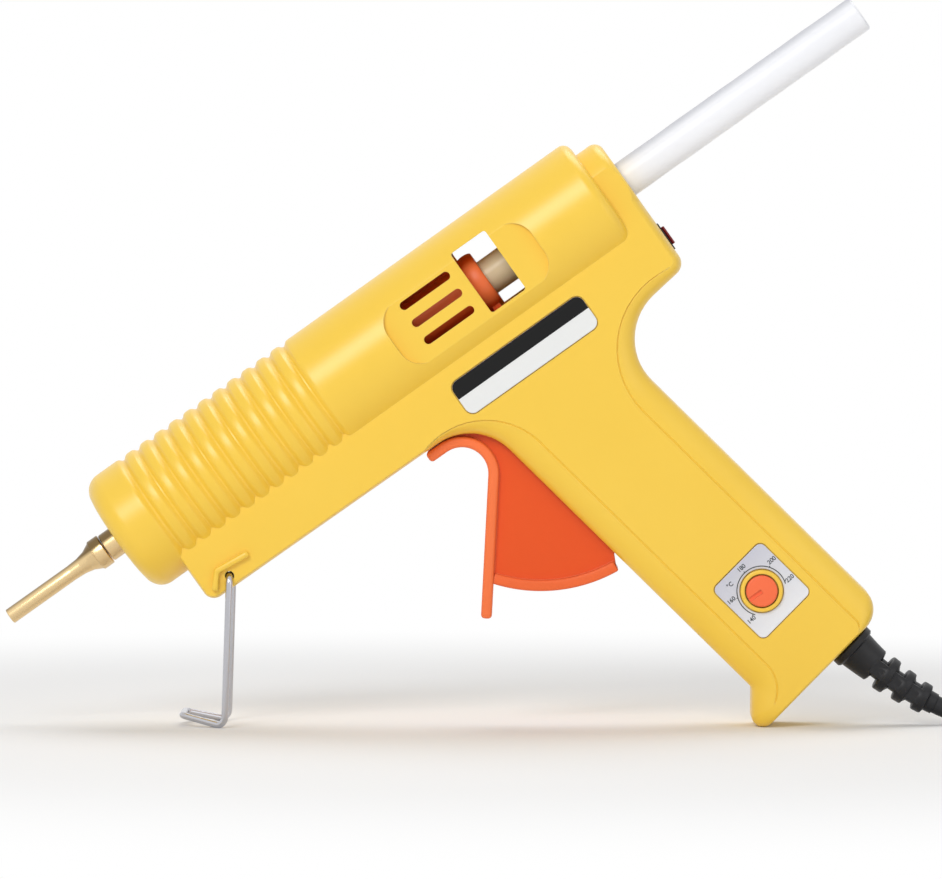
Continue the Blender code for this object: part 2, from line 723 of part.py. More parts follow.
def finish(made, surface, parent, origin=(0, 0, 0)):
    """Gives a piece its surface, its smooth shading and its place on the gun."""
    made.data.materials.clear()
    made.data.materials.append(surface)
    if made.type == "MESH":
        made.data.transform(Matrix.Translation(Vector(origin) * -1))
        made.data.shade_smooth()
        made.data.set_sharp_from_angle(angle=SHARP_ANGLE)
    made.parent = parent
    made.location = Vector(origin)
    return made


# Places on the gun


def grip_point(down, back):
    """A place on the grip, so far down from the crotch and so far back from the front line."""
    s = CROTCH_S + down * math.cos(HANDLE_SLANT) + back * math.sin(HANDLE_SLANT)
    h = -CROTCH_DEPTH - down * math.sin(HANDLE_SLANT) + back * math.cos(HANDLE_SLANT)
    return s, h


def height(point):
    """How high a place (s, h) lies in the world, before the gun is set down."""
    return point[0] * math.sin(TILT) + point[1] * math.cos(TILT)


def ahead(angle_from_down):
    """A direction in the gun's frame that leans forward of straight down in the world."""
    angle = -math.pi / 2 - TILT - angle_from_down
    return math.cos(angle), math.sin(angle)


def screw_places():
    keel = [(FRONT_SCREW_S, -KEEL_SCREW_DEPTH), (MIDDLE_SCREW_S, -KEEL_SCREW_DEPTH)]
    tail = [(TAIL_SCREW_S, -KEEL_SCREW_DEPTH)]
    grip = [
        grip_point(GRIP_SCREW_DOWN, GRIP_SCREW_BACK),
        grip_point(TOE_SCREW_DOWN, TOE_SCREW_BACK),
        grip_point(HEEL_SCREW_DOWN, HEEL_SCREW_BACK),
    ]
    return keel + tail + grip


# Housing


def body_corners(top):
    """The side outline of keel, grip and tail, from the lug round to the top at height h = top."""
    slope = (CROTCH_DEPTH - KEEL_DEPTH) / (CROTCH_S - KEEL_FRONT_S)
    crease_h = -KEEL_DEPTH - slope * (CREASE_START_S - KEEL_FRONT_S)
    return [
        Corner(KEEL_FRONT_S, -KEEL_DEPTH, KEEL_ROUND, EDGE_INSET, EDGE_INSET),
        Corner(CREASE_START_S, crease_h, PLAIN_ROUND, EDGE_INSET, EDGE_INSET),
        Corner(CROTCH_S, -CROTCH_DEPTH, CROTCH_ROUND, CROTCH_INSET, CREASE_INSET),
        Corner(*grip_point(TOE_START, 0), TOE_INNER_ROUND, CREASE_INSET, CREASE_INSET),
        Corner(*grip_point(GRIP_LENGTH, -TOE_REACH), TOE_ROUND, TOE_INSET, EDGE_INSET),
        Corner(*grip_point(GRIP_LENGTH, GRIP_DEPTH), HEEL_ROUND, EDGE_INSET, CREASE_INSET),
        Corner(*grip_point(NECK_DOWN, GRIP_DEPTH), NECK_ROUND, CREASE_INSET, CREASE_INSET),
        Corner(REAR_S, -TAIL_DEPTH, TAIL_ROUND, TAIL_INSET, TAIL_INSET),
        Corner(REAR_S, top, 0, TAIL_INSET, 0),
        Corner(KEEL_FRONT_S, top, 0, 0, EDGE_INSET),
    ]


def body_loft(name, half_width, margin, top):
    """Keel, grip and tail in one, flat on the sides and rounded over towards the outline."""
    corners = body_corners(top)
    shares = list(zip(LEVEL_WIDTH_SHARES, LEVEL_INSET_SHARES))
    levels = [(-width, inset) for width, inset in shares] + [(0.0, 0.0)] + shares[::-1]
    rings = []
    for width, inset in levels:
        outline = rounded(inset_corners(corners, inset, margin))
        rings.append([(s, half_width * width, h) for s, h in outline])
    return loft(name, rings)


def barrel_profile():
    """The barrel from nose to rear as (s, radius), with its grooves and its round end."""
    profile = [(0, 0), (0, NOSE_FACE_R), (NOSE_MID_S, NOSE_MID_R)]
    profile += [(NOSE_EDGE_S, NOSE_EDGE_R), (NOSE_LENGTH, BARREL_R)]
    for index in range(GROOVE_COUNT):
        middle = GROOVE_START + index * GROOVE_PITCH
        profile.append((middle - GROOVE_WIDTH / 2, BARREL_R))
        profile.append((middle, BARREL_R - GROOVE_DEPTH))
        profile.append((middle + GROOVE_WIDTH / 2, BARREL_R))
    for step in range(CORNER_STEPS + 1):
        turn = math.pi / 2 * step / CORNER_STEPS
        s = BARREL_LENGTH - BARREL_END_ROUND * (1 - math.sin(turn))
        profile.append((s, BARREL_R - BARREL_END_ROUND * (1 - math.cos(turn))))
    profile.append((BARREL_LENGTH, 0))
    return profile


def collar_profile():
    """The narrower collar behind the barrel that the stick goes in through."""
    profile = [(BARREL_LENGTH - OVERRUN, 0), (BARREL_LENGTH - OVERRUN, COLLAR_R)]
    for step in range(CORNER_STEPS + 1):
        turn = math.pi / 2 * step / CORNER_STEPS
        s = REAR_S - COLLAR_ROUND * (1 - math.sin(turn))
        profile.append((s, COLLAR_R - COLLAR_ROUND * (1 - math.cos(turn))))
    profile.append((REAR_S, 0))
    return profile


def cavity_profile():
    """The space inside the barrel, with the ribs that guide the carriage and the stick."""
    inner = BARREL_R - WALL
    guide = CARRIAGE_R + RUNNING_GAP
    port = STICK_R + RUNNING_GAP * 2
    return [
        (WALL, 0),
        (WALL, NOSE_FACE_R - WALL),
        (NOSE_LENGTH + WALL, inner),
        (GUIDE_RIB_S, inner),
        (GUIDE_RIB_S, guide),
        (GUIDE_RIB_S + GUIDE_RIB_LENGTH, guide),
        (GUIDE_RIB_S + GUIDE_RIB_LENGTH, inner),
        (PORT_RIB_S, inner),
        (PORT_RIB_S, port),
        (PORT_RIB_S + PORT_RIB_LENGTH, port),
        (PORT_RIB_S + PORT_RIB_LENGTH, inner),
        (BARREL_LENGTH - WALL, inner),
        (BARREL_LENGTH - WALL, 0),
    ]


def recess_outline(margin):
    """The long rounded panel on the side of the barrel, grown by a margin."""
    low, high = -RECESS_HALF_HEIGHT - margin, RECESS_HALF_HEIGHT + margin
    start, end = RECESS_START_S - margin, RECESS_END_S + margin
    radius = RECESS_HALF_HEIGHT
    corners = [(start, low, radius), (end, low, radius), (end, high, radius), (start, high, radius)]
    return rounded(corners)


def housing_cavity():
    cavity = turned("cavity", cavity_profile())
    for side in (-1, 1):
        near, far = side * (RECESS_Y - WALL), side * (BARREL_R + OVERRUN)
        cut(cavity, prism("recess wall", recess_outline(WALL), near, far))
    inside = body_loft("body cavity", BODY_HALF_WIDTH - WALL, WALL, -CAVITY_TOP)
    keyway_low = (KEYWAY_START_S, -KEYWAY_HALF_WIDTH, -KEYWAY_DEPTH)
    keyway = block("keyway", keyway_low, (KEYWAY_END_S, KEYWAY_HALF_WIDTH, 0))
    return join(cavity, inside, keyway)


def trigger_slot():
    """The opening under the crotch that the trigger's web and rim pass through."""
    outline = [(TRIGGER_SLOT_FRONT_S, TRIGGER_SLOT_TOP_H), (TRIGGER_SLOT_FRONT_S, PIVOT_H)]
    reach = FAN_R + GAP * 2
    for step in range(PIN_SEGMENTS + 1):
        share = step / PIN_SEGMENTS
        turn = TRIGGER_SLOT_START + (TRIGGER_SLOT_END - TRIGGER_SLOT_START) * share
        outline.append((PIVOT_S + reach * math.cos(turn), PIVOT_H + reach * math.sin(turn)))
    outline.append((PIVOT_S, TRIGGER_SLOT_TOP_H))
    return prism("trigger slot", outline, -TRIGGER_SLOT_HALF_WIDTH, TRIGGER_SLOT_HALF_WIDTH)


def along_grip(name, down_start, down_end, back, radius, segments=SMALL_SEGMENTS):
    """A round bar that runs down the grip in its middle plane."""
    start, end = grip_point(down_start, back), grip_point(down_end, back)
    run = Vector((end[0] - start[0], 0, end[1] - start[1]))
    shape = bmesh.new()
    ends = {"radius1": radius, "radius2": radius, "depth": run.length, "segments": segments}
    bmesh.ops.create_cone(shape, cap_ends=True, **ends)
    turn = run.to_track_quat("Z", "Y").to_matrix().to_4x4()
    middle = Vector((start[0], 0, start[1])) + run / 2
    bmesh.ops.transform(shape, matrix=Matrix.Translation(middle) @ turn, verts=shape.verts)
    return from_bmesh(name, shape)


def housing_openings():
    """Cutters for what goes through both halves."""
    hole = [(-OVERRUN, 0), (-OVERRUN, NOSE_HOLE_R), (OVERRUN, NOSE_HOLE_R), (OVERRUN, 0)]
    port_r = STICK_R + RUNNING_GAP * 2
    port_start, port_end = PORT_RIB_S + OVERRUN * 2, REAR_S + OVERRUN
    port = [(port_start, 0), (port_start, port_r), (port_end, port_r), (port_end, 0)]
    switch_low = SWITCH_H - SWITCH_HALF_HEIGHT - GAP, SWITCH_H + SWITCH_HALF_HEIGHT + GAP
    switch_y = SWITCH_HALF_WIDTH + GAP
    relief = RELIEF_NECK_R + GAP
    far = BARREL_R + OVERRUN
    window = [
        (WINDOW_START_S, WINDOW_LOW, WINDOW_ROUND),
        (WINDOW_END_S, WINDOW_LOW, WINDOW_ROUND),
        (WINDOW_END_S, WINDOW_HIGH, WINDOW_ROUND),
        (WINDOW_START_S, WINDOW_HIGH, WINDOW_ROUND),
    ]
    cutters = [
        turned("nose hole", hole),
        turned("stick port", port),
        prism("window", rounded(window, 1), -far, far),
        block("switch hole", (REAR_S - SWITCH_DEPTH, -switch_y, switch_low[0]),
              (REAR_S + OVERRUN, switch_y, switch_low[1])),
        along_grip("relief hole", GRIP_LENGTH - OVERRUN, GRIP_LENGTH + OVERRUN, RELIEF_BACK, relief),
        trigger_slot(),
    ]
    for index in (-1, 0, 1):
        middle = SLOT_MIDDLE_H + index * SLOT_PITCH
        low, high, radius = middle - SLOT_HEIGHT / 2, middle + SLOT_HEIGHT / 2, SLOT_HEIGHT / 2 - CLOSE
        corners = [(SLOT_START_S, low), (SLOT_END_S, low), (SLOT_END_S, high), (SLOT_START_S, high)]
        outline = rounded([(s, h, radius) for s, h in corners], 2)
        cutters.append(prism("slot", outline, -far, far))
    for side in (-1, 1):
        panel = recess_outline(0)
        cutters.append(prism("recess", panel, side * RECESS_Y, side * far))
        low = (BARREL_LENGTH, min(side * BODY_HALF_WIDTH, side * far), -COLLAR_R - OVERRUN)
        high = (REAR_S + OVERRUN, max(side * BODY_HALF_WIDTH, side * far), COLLAR_R + OVERRUN)
        cutters.append(block("collar flat", low, high))
    return cutters


def housing_shell():
    """Both halves as one hollow shell, before the parting cut."""
    shell = turned("shell", barrel_profile())
    body = body_loft("body", BODY_HALF_WIDTH, 0, 0)
    join(shell, turned("collar", collar_profile()), body)
    cut(shell, housing_cavity(), *housing_openings())
    return shell


def stand_clip(side):
    """The raised L-shaped rib beside the stand's pivot that stops the wire both ways."""
    path = [
        (STAND_S - CLIP_FRONT_AHEAD, STAND_H - CLIP_FRONT_DROP),
        (STAND_S - CLIP_CORNER_AHEAD, STAND_H + CLIP_CORNER_RISE),
        (STAND_S + CLIP_BACK, STAND_H + CLIP_BACK_RISE),
    ]
    near, far = side * (BODY_HALF_WIDTH - LAP), side * (BODY_HALF_WIDTH + CLIP_PROUD)
    return prism("clip", strip(path, CLIP_WIDTH), near, far)


def add_bosses(half, side):
    """Screw posts, the trigger pin's boss, the stand's boss and the clip of one half."""
    wall_y = side * (BODY_HALF_WIDTH - WALL / 2)
    for s, h in screw_places():
        join_half(half, rod("post", s, h, side * PARTING, wall_y, POST_R))
    join_half(half, rod("pivot boss", PIVOT_S, PIVOT_H, side * PIVOT_BOSS_Y, wall_y, PIVOT_BOSS_R))
    join_half(half, rod("stand boss", STAND_S, STAND_H, side * STAND_BOSS_Y, wall_y, STAND_BOSS_R))
    join_half(half, stand_clip(side))


def cut_bores(half, side):
    """The bores of one half for the trigger pin, the stand and the screws."""
    far = side * (BODY_HALF_WIDTH + OVERRUN)
    pin_end = side * (PIN_END_Y + GAP)
    cut_half(half, rod("pin bore", PIVOT_S, PIVOT_H, 0, pin_end, PIN_R + GAP))
    cut_half(half, rod("stand bore", STAND_S, STAND_H, 0, far, WIRE_R + RUNNING_GAP, PIN_SEGMENTS))
    for s, h in screw_places():
        shank = SCREW_SHANK_R + GAP
        if side > 0:
            cut_half(half, rod("counterbore", s, h, SCREW_SEAT_Y, far, COUNTERBORE_R))
            cut_half(half, rod("screw bore", s, h, 0, far, shank, PIN_SEGMENTS))
        else:
            cut_half(half, rod("screw bore", s, h, 0, -SCREW_DEPTH_Y - GAP, shank, PIN_SEGMENTS))


def half_housing(shell, name, side, surface, parent):
    half = new_object(name, shell.data.copy())
    far = side * (BARREL_R + OVERRUN)
    reach = REAR_S + GRIP_LENGTH
    low = (-OVERRUN * 2, min(side * PARTING, far), -reach)
    high = (reach, max(side * PARTING, far), BARREL_R + OVERRUN)
    combine(half, [block("half space", low, high)], "INTERSECT", "MANIFOLD")
    add_bosses(half, side)
    cut_bores(half, side)
    if side < 0:
        add_dial_seat(half)
    return finish(half, surface, parent)


def grip_rectangle(down, back, length, width, radius):
    """A rounded rectangle in line with the grip."""
    corners = [
        (down + length / 2, back - width / 2),
        (down + length / 2, back + width / 2),
        (down - length / 2, back + width / 2),
        (down - length / 2, back - width / 2),
    ]
    return rounded([(*grip_point(*corner), radius) for corner in corners])


def name_plate_outline(margin):
    half_length, half_height = NAME_PLATE_LENGTH / 2 + margin, NAME_PLATE_HEIGHT / 2 + margin
    corners = [(-1, -1), (1, -1), (1, 1), (-1, 1)]
    radius = NAME_PLATE_ROUND + margin
    places = [(NAME_PLATE_S + a * half_length, NAME_PLATE_H + b * half_height) for a, b in corners]
    return rounded([(s, h, radius) for s, h in places])


def dial_plate_outline(margin):
    size = (DIAL_PLATE_LENGTH + margin * 2, DIAL_PLATE_WIDTH + margin * 2, DIAL_PLATE_ROUND + margin)
    return grip_rectangle(DIAL_DOWN, DIAL_BACK, *size)


def add_dial_seat(half):
    """The plate recesses on the left side, with the raised collar and the hole of the dial."""
    face, floor = -BODY_HALF_WIDTH, -BODY_HALF_WIDTH + PLATE_RECESS
    out = face - OVERRUN
    cut_half(half, prism("name recess", name_plate_outline(PLATE_GAP), floor, out))
    cut_half(half, prism("dial recess", dial_plate_outline(PLATE_GAP), floor, out))
    s, h = grip_point(DIAL_DOWN, DIAL_BACK)
    proud = face - DIAL_COLLAR_PROUD
    join_half(half, rod("collar", s, h, floor + LAP, proud, DIAL_COLLAR_R, SMALL_SEGMENTS))
    cut_half(half, rod("cup", s, h, floor, out, DIAL_COLLAR_R - DIAL_COLLAR_WALL, SMALL_SEGMENTS))
    cut_half(half, rod("dial bore", s, h, 0, out, POT_BUSH_R + GAP, SMALL_SEGMENTS))


# Nozzle and heater


def nozzle(surface, parent):
    profile = [
        (NOZZLE_TIP_S, NOZZLE_BORE_R),
        (NOZZLE_TIP_S, NOZZLE_TUBE_R - NOZZLE_TIP_EDGE),
        (NOZZLE_TIP_S + NOZZLE_TIP_EDGE, NOZZLE_TUBE_R),
        (NOZZLE_FLARE_S, NOZZLE_TUBE_R),
        (NOZZLE_FLARE_MID_S, NOZZLE_FLARE_MID_R),
        (NOZZLE_COLLAR_S - NOZZLE_COLLAR_EDGE, NOZZLE_COLLAR_R - NOZZLE_COLLAR_EDGE),
        (NOZZLE_COLLAR_S, NOZZLE_COLLAR_R),
        (NOZZLE_BACK_S - NOZZLE_COLLAR_EDGE, NOZZLE_COLLAR_R),
        (NOZZLE_BACK_S, NOZZLE_COLLAR_R - NOZZLE_COLLAR_EDGE),
        (NOZZLE_BACK_S, NOZZLE_BORE_R),
    ]
    return finish(turned("nozzle", profile, SMALL_SEGMENTS, closed=True), surface, parent)


def nozzle_adapter(surface, parent):
    start = NOZZLE_BACK_S + GAP
    profile = [
        (start, ADAPTER_BORE_R),
        (start, ADAPTER_R),
        (ADAPTER_END_S, ADAPTER_R),
        (ADAPTER_END_S, ADAPTER_BORE_R),
    ]
    return finish(turned("nozzle_adapter", profile, SMALL_SEGMENTS, closed=True), surface, parent)


def melt_chamber(surface, parent):
    """The cast chamber: a threaded nose, a cone that the stick melts into, and a rear spigot."""
    bore = STICK_BORE_R
    thread_end = CHAMBER_START_S + THREAD_BORE_LENGTH
    nose_end = CHAMBER_START_S + CHAMBER_NOSE_LENGTH
    spigot = CHAMBER_END_S - CHAMBER_SPIGOT_LENGTH
    profile = [
        (CHAMBER_START_S, THREAD_BORE_R),
        (CHAMBER_START_S, CHAMBER_NOSE_R),
        (nose_end, CHAMBER_NOSE_R),
        (nose_end, CHAMBER_R),
        (spigot, CHAMBER_R),
        (spigot, CHAMBER_SPIGOT_R),
        (CHAMBER_END_S, CHAMBER_SPIGOT_R),
        (CHAMBER_END_S, bore),
        (thread_end + CHAMBER_CONE_LENGTH, bore),
        (thread_end, ADAPTER_BORE_R),
        (thread_end, THREAD_BORE_R),
    ]
    chamber = turned("melt_chamber", profile, SMALL_SEGMENTS, closed=True)
    low = (PAD_START_S, -PAD_HALF_WIDTH, CHAMBER_R - CHAMBER_R / 4)
    pad = block("pad", low, (PAD_START_S + PAD_LENGTH, PAD_HALF_WIDTH, PAD_TOP))
    return finish(join(chamber, pad), surface, parent)


def heating_element(surface, parent):
    low = (PAD_START_S + ELEMENT_MARGIN, -ELEMENT_HALF_WIDTH, PAD_TOP + GAP)
    end = PAD_START_S + PAD_LENGTH - ELEMENT_MARGIN
    high = (end, ELEMENT_HALF_WIDTH, PAD_TOP + GAP + ELEMENT_HEIGHT)
    return finish(block("heating_element", low, high), surface, parent)


def heater_bracket(name, start, surface, parent):
    """A steel ring that holds the chamber in the barrel."""
    inner, outer = CHAMBER_R + GAP, BARREL_R - WALL - GAP
    end = start + BRACKET_LENGTH
    profile = [(start, inner), (start, outer), (end, outer), (end, inner)]
    ring = turned(name, profile, ROUND_SEGMENTS, closed=True)
    deep = (start - OVERRUN, -KEYWAY_HALF_WIDTH, -BARREL_R)
    cut(ring, block("gap", deep, (end + OVERRUN, KEYWAY_HALF_WIDTH, -CHAMBER_R)))
    return finish(ring, surface, parent)


def thermal_cutout(surface, parent):
    """The small round cut-out that hangs under the chamber."""
    shape = bmesh.new()
    ends = {"radius1": CUTOUT_R, "radius2": CUTOUT_R, "depth": CUTOUT_HEIGHT}
    bmesh.ops.create_cone(shape, cap_ends=True, segments=PIN_SEGMENTS, **ends)
    middle = Vector((CUTOUT_S, 0, -CHAMBER_R - GAP - CUTOUT_HEIGHT / 2))
    bmesh.ops.translate(shape, verts=shape.verts, vec=middle)
    return finish(from_bmesh("thermal_cutout", shape), surface, parent)


def feed_sleeve(surface, parent):
    """The soft sleeve that seals the stick against the chamber."""
    start = CHAMBER_END_S + GAP
    bore, end = STICK_BORE_R, start + SLEEVE_LENGTH
    profile = [(start, bore), (start, SLEEVE_R), (end, SLEEVE_R), (end, bore)]
    return finish(turned("feed_sleeve", profile, SMALL_SEGMENTS, closed=True), surface, parent)


def sleeve_clamp(surface, parent):
    inner, end = SLEEVE_R + GAP, CLAMP_S + CLAMP_LENGTH
    profile = [(CLAMP_S, inner), (CLAMP_S, CLAMP_R), (end, CLAMP_R), (end, inner)]
    return finish(turned("sleeve_clamp", profile, SMALL_SEGMENTS, closed=True), surface, parent)


# Feed


def glue_stick(surface, parent):
    end = STICK_FRONT_S + STICK_LENGTH
    profile = [
        (STICK_FRONT_S, 0),
        (STICK_FRONT_S, STICK_R - STICK_EDGE),
        (STICK_FRONT_S + STICK_EDGE, STICK_R),
        (end - STICK_EDGE, STICK_R),
        (end, STICK_R - STICK_EDGE),
        (end, 0),
    ]
    return finish(turned("glue_stick", profile, SMALL_SEGMENTS), surface, parent)


def lever_tip():
    """Where the top of the trigger's lever stands at rest."""
    lean = STROKE / 2
    return PIVOT_S + LEVER_REACH * math.sin(lean), PIVOT_H + LEVER_REACH * math.cos(lean)


def feed_carriage(surface, parent):
    """The tube that grips the stick, with its ring, the fork for the lever and the pawl's ears."""
    bore, ring = STICK_BORE_R, CARRIAGE_END_S - CARRIAGE_RING_LENGTH
    profile = [
        (CARRIAGE_START_S, bore),
        (CARRIAGE_START_S, CARRIAGE_R),
        (ring, CARRIAGE_R),
        (ring, CARRIAGE_RING_R),
        (CARRIAGE_END_S, CARRIAGE_RING_R),
        (CARRIAGE_END_S, bore),
    ]
    carriage = turned("feed_carriage", profile, ROUND_SEGMENTS, closed=True)
    tip = lever_tip()[0]
    reach = LEVER_TIP_R + RUNNING_GAP
    top = -(STICK_R + CARRIAGE_R) / 2 - LAP
    for start in (tip - reach - FORK_WALL, tip + reach):
        low = (start, -FORK_HALF_WIDTH, -FORK_DEPTH)
        join(carriage, block("fork", low, (start + FORK_WALL, FORK_HALF_WIDTH, top)))
    for side in (-1, 1):
        near = side * (PAWL_HALF_WIDTH + GAP)
        far = near + side * EAR_THICKNESS
        low = (EAR_START_S, min(near, far), -EAR_DEPTH)
        join(carriage, block("ear", low, (EAR_START_S + EAR_LENGTH, max(near, far), top)))
    slot_low = (EAR_START_S, -PAWL_HALF_WIDTH - GAP, -EAR_DEPTH - OVERRUN)
    cut(carriage, block("pawl slot", slot_low, (EAR_START_S + EAR_LENGTH, PAWL_HALF_WIDTH + GAP, 0)))
    s, h = pawl_place()
    reach_y = PAWL_HALF_WIDTH + EAR_THICKNESS + OVERRUN
    cut(carriage, rod("pin bore", s, h, -reach_y, reach_y, PAWL_PIN_R + GAP, PIN_SEGMENTS))
    return finish(carriage, surface, parent)


def pawl_place():
    return EAR_START_S + EAR_LENGTH / 2, -PAWL_PIN_DEPTH


def clamp_pawl(surface, parent):
    """The toothed steel pawl under the stick."""
    start, end = EAR_START_S + PAWL_MARGIN, EAR_START_S + EAR_LENGTH - PAWL_MARGIN
    top = -STICK_R - RUNNING_GAP - PAWL_TOOTH
    teeth = 3
    width = (end - start) / teeth
    outline = [(start, -EAR_DEPTH), (end, -EAR_DEPTH), (end, top)]
    for index in range(teeth):
        back = end - index * width
        outline += [(back - width / 3, top + PAWL_TOOTH), (back - width, top)]
    pawl = prism("clamp_pawl", outline, -PAWL_HALF_WIDTH, PAWL_HALF_WIDTH)
    s, h = pawl_place()
    reach = PAWL_HALF_WIDTH + OVERRUN
    cut(pawl, rod("pin bore", s, h, -reach, reach, PAWL_PIN_R + GAP, PIN_SEGMENTS))
    return finish(pawl, surface, parent)


def pawl_pin(surface, parent):
    s, h = pawl_place()
    reach = PAWL_HALF_WIDTH + GAP + EAR_THICKNESS
    return finish(rod("pawl_pin", s, h, -reach, reach, PAWL_PIN_R, PIN_SEGMENTS), surface, parent)


# Trigger


def blade_path():
    """The middle line of the blade: a short tab under the keel, a round bend and a straight blade."""
    corners = [
        (BLADE_TAB_S, 0, BLADE_TOP_H),
        (BLADE_CORNER_S, 0, BLADE_TOP_H),
        (BLADE_TIP_S, 0, BLADE_TIP_H),
    ]
    return [(point.x, point.z) for point in bend_path(corners, BLADE_ROUND, PIN_SEGMENTS // 2)]


def fan_arc(radius):
    points = []
    for step in range(PIN_SEGMENTS + 1):
        turn = FAN_START + (FAN_END - FAN_START) * step / PIN_SEGMENTS
        points.append((PIVOT_S + radius * math.cos(turn), PIVOT_H + radius * math.sin(turn)))
    return points


def trigger_web():
    """The web between the blade and the pivot, which runs down to the fan's rim."""
    path = blade_path()
    blade_side = [point for point in path[2:-1]]
    outline = fan_arc(FAN_R - FAN_RIM / 2)
    outline += [(WEB_BACK_S, WEB_BACK_H), (PIVOT_S, PIVOT_H), (WEB_SHOULDER_S, WEB_SHOULDER_H)]
    outline += [(WEB_TOP_S, WEB_TOP_H)] + blade_side
    web = prism("web", outline, -WEB_HALF_WIDTH, WEB_HALF_WIDTH)
    pocket = (LEVER_HALF_WIDTH, WEB_HALF_WIDTH + OVERRUN)
    for side in (-1, 1):
        near, far = side * pocket[0], side * pocket[1]
        cut(web, rod("pocket", PIVOT_S, PIVOT_H, near, far, SPRING_POCKET_R))
    return web


def lever_outline():
    """A taper from the hub up to the thin neck under the lever's round tip."""
    lean = STROKE / 2
    points = []
    ends = ((0, HUB_R, math.pi), (LEVER_REACH, LEVER_NECK_R, 0))
    for reach, radius, start in ends:
        for step in range(PIN_SEGMENTS // 2 + 1):
            turn = start + math.pi * step / (PIN_SEGMENTS // 2)
            across, up = radius * math.cos(turn), reach + radius * math.sin(turn)
            s = PIVOT_S + across * math.cos(lean) + up * math.sin(lean)
            points.append((s, PIVOT_H - across * math.sin(lean) + up * math.cos(lean)))
    return points


def trigger(surface, parent):
    """The trigger: blade, web, fan rim, hub and the lever that drives the carriage."""
    blade = prism("trigger", strip(blade_path(), BLADE_THICKNESS), -BLADE_HALF_WIDTH, BLADE_HALF_WIDTH)
    bevelled(blade, BLADE_EDGE)
    rim = prism(
        "rim",
        fan_arc(FAN_R) + fan_arc(FAN_R - FAN_RIM)[::-1],
        -FAN_RIM_HALF_WIDTH,
        FAN_RIM_HALF_WIDTH,
    )
    lever = prism("lever", lever_outline(), -LEVER_HALF_WIDTH, LEVER_HALF_WIDTH)
    tip = rod("tip", *lever_tip(), -LEVER_HALF_WIDTH, LEVER_HALF_WIDTH, LEVER_TIP_R)
    join(blade, trigger_web(), rim, lever, tip)
    bore = rod("bore", PIVOT_S, PIVOT_H, -BLADE_HALF_WIDTH, BLADE_HALF_WIDTH, PIN_R + RUNNING_GAP)
    cut(blade, bore)
    return finish(blade, surface, parent, (PIVOT_S, 0, PIVOT_H))


def trigger_pin(surface, parent):
    made = rod("trigger_pin", PIVOT_S, PIVOT_H, -PIN_END_Y, PIN_END_Y, PIN_R)
    return finish(made, surface, parent)


def return_spring(surface, parent):
    """A torsion spring on the trigger pin: close turns with two straight legs."""
    points = []
    count = SPRING_TURNS * SPRING_POINTS_A_TURN
    for index in range(count + 1):
        turn = math.tau * index / SPRING_POINTS_A_TURN
        y = SPRING_START_Y + SPRING_PITCH * index / SPRING_POINTS_A_TURN
        s, h = SPRING_MEAN_R * math.cos(turn), SPRING_MEAN_R * math.sin(turn)
        points.append(Vector((PIVOT_S + s, y, PIVOT_H + h)))
    points.insert(0, points[0] - Vector((0, 0, SPRING_LEG)))
    points.append(points[-1] + Vector((0, 0, SPRING_LEG)))
    print_least_gap("return_spring", points, SPRING_WIRE, SPRING_POINTS_A_TURN)
    return finish(tube("return_spring", points, SPRING_WIRE / 2, 1), surface, parent)


# Screws


def housing_screw(name, s, h, surface, parent):
    """A cross-head screw that goes in from the right side."""
    seat = SCREW_SEAT_Y + GAP
    head = rod(name, s, h, seat, seat + SCREW_HEAD_HEIGHT, SCREW_HEAD_R, SMALL_SEGMENTS)
    join(head, rod("shank", s, h, -SCREW_DEPTH_Y, seat + LAP, SCREW_SHANK_R, PIN_SEGMENTS))
    low_y, high_y = seat + SCREW_HEAD_HEIGHT - SCREW_SLOT_DEPTH, seat + SCREW_HEAD_HEIGHT + OVERRUN
    for long, wide in ((SCREW_SLOT_LENGTH, SCREW_SLOT_WIDTH), (SCREW_SLOT_WIDTH, SCREW_SLOT_LENGTH)):
        low = (s - long / 2, low_y, h - wide / 2)
        cut(head, block("slot", low, (s + long / 2, high_y, h + wide / 2)))
    return finish(head, surface, parent)


# Dial, plates and switch


def potentiometer(surface, parent):
    s, h = grip_point(DIAL_DOWN, DIAL_BACK)
    front = -BODY_HALF_WIDTH + WALL + GAP
    body = rod("potentiometer", s, h, front, front + POT_DEPTH, POT_R)
    bush_end = -BODY_HALF_WIDTH + PLATE_RECESS / 2
    join(body, rod("bush", s, h, front + LAP, bush_end, POT_BUSH_R))
    shaft_end = -BODY_HALF_WIDTH - POT_SHAFT_PROUD
    join(body, rod("shaft", s, h, bush_end + LAP, shaft_end, POT_SHAFT_R, PIN_SEGMENTS))
    return finish(body, surface, parent)


def circuit_board(surface, parent):
    front = -BODY_HALF_WIDTH + WALL + GAP + POT_DEPTH + GAP
    down, back = BOARD_BOTTOM_DOWN + BOARD_TOP_DOWN, BOARD_FRONT_BACK + BOARD_REAR_BACK
    length, width = BOARD_BOTTOM_DOWN - BOARD_TOP_DOWN, BOARD_REAR_BACK - BOARD_FRONT_BACK
    outline = grip_rectangle(down / 2, back / 2, length, width, BOARD_THICKNESS)
    return finish(prism("circuit_board", outline, front, front + BOARD_THICKNESS), surface, parent)


def dial_plate(surface, parent):
    back = -BODY_HALF_WIDTH + PLATE_RECESS - PLATE_GAP
    plate = prism("dial_plate", dial_plate_outline(0), back, back - PLATE_THICKNESS)
    s, h = grip_point(DIAL_DOWN, DIAL_BACK)
    hole = rod("hole", s, h, back + OVERRUN, back - OVERRUN, DIAL_COLLAR_R + GAP, SMALL_SEGMENTS)
    return finish(cut(plate, hole), surface, parent)


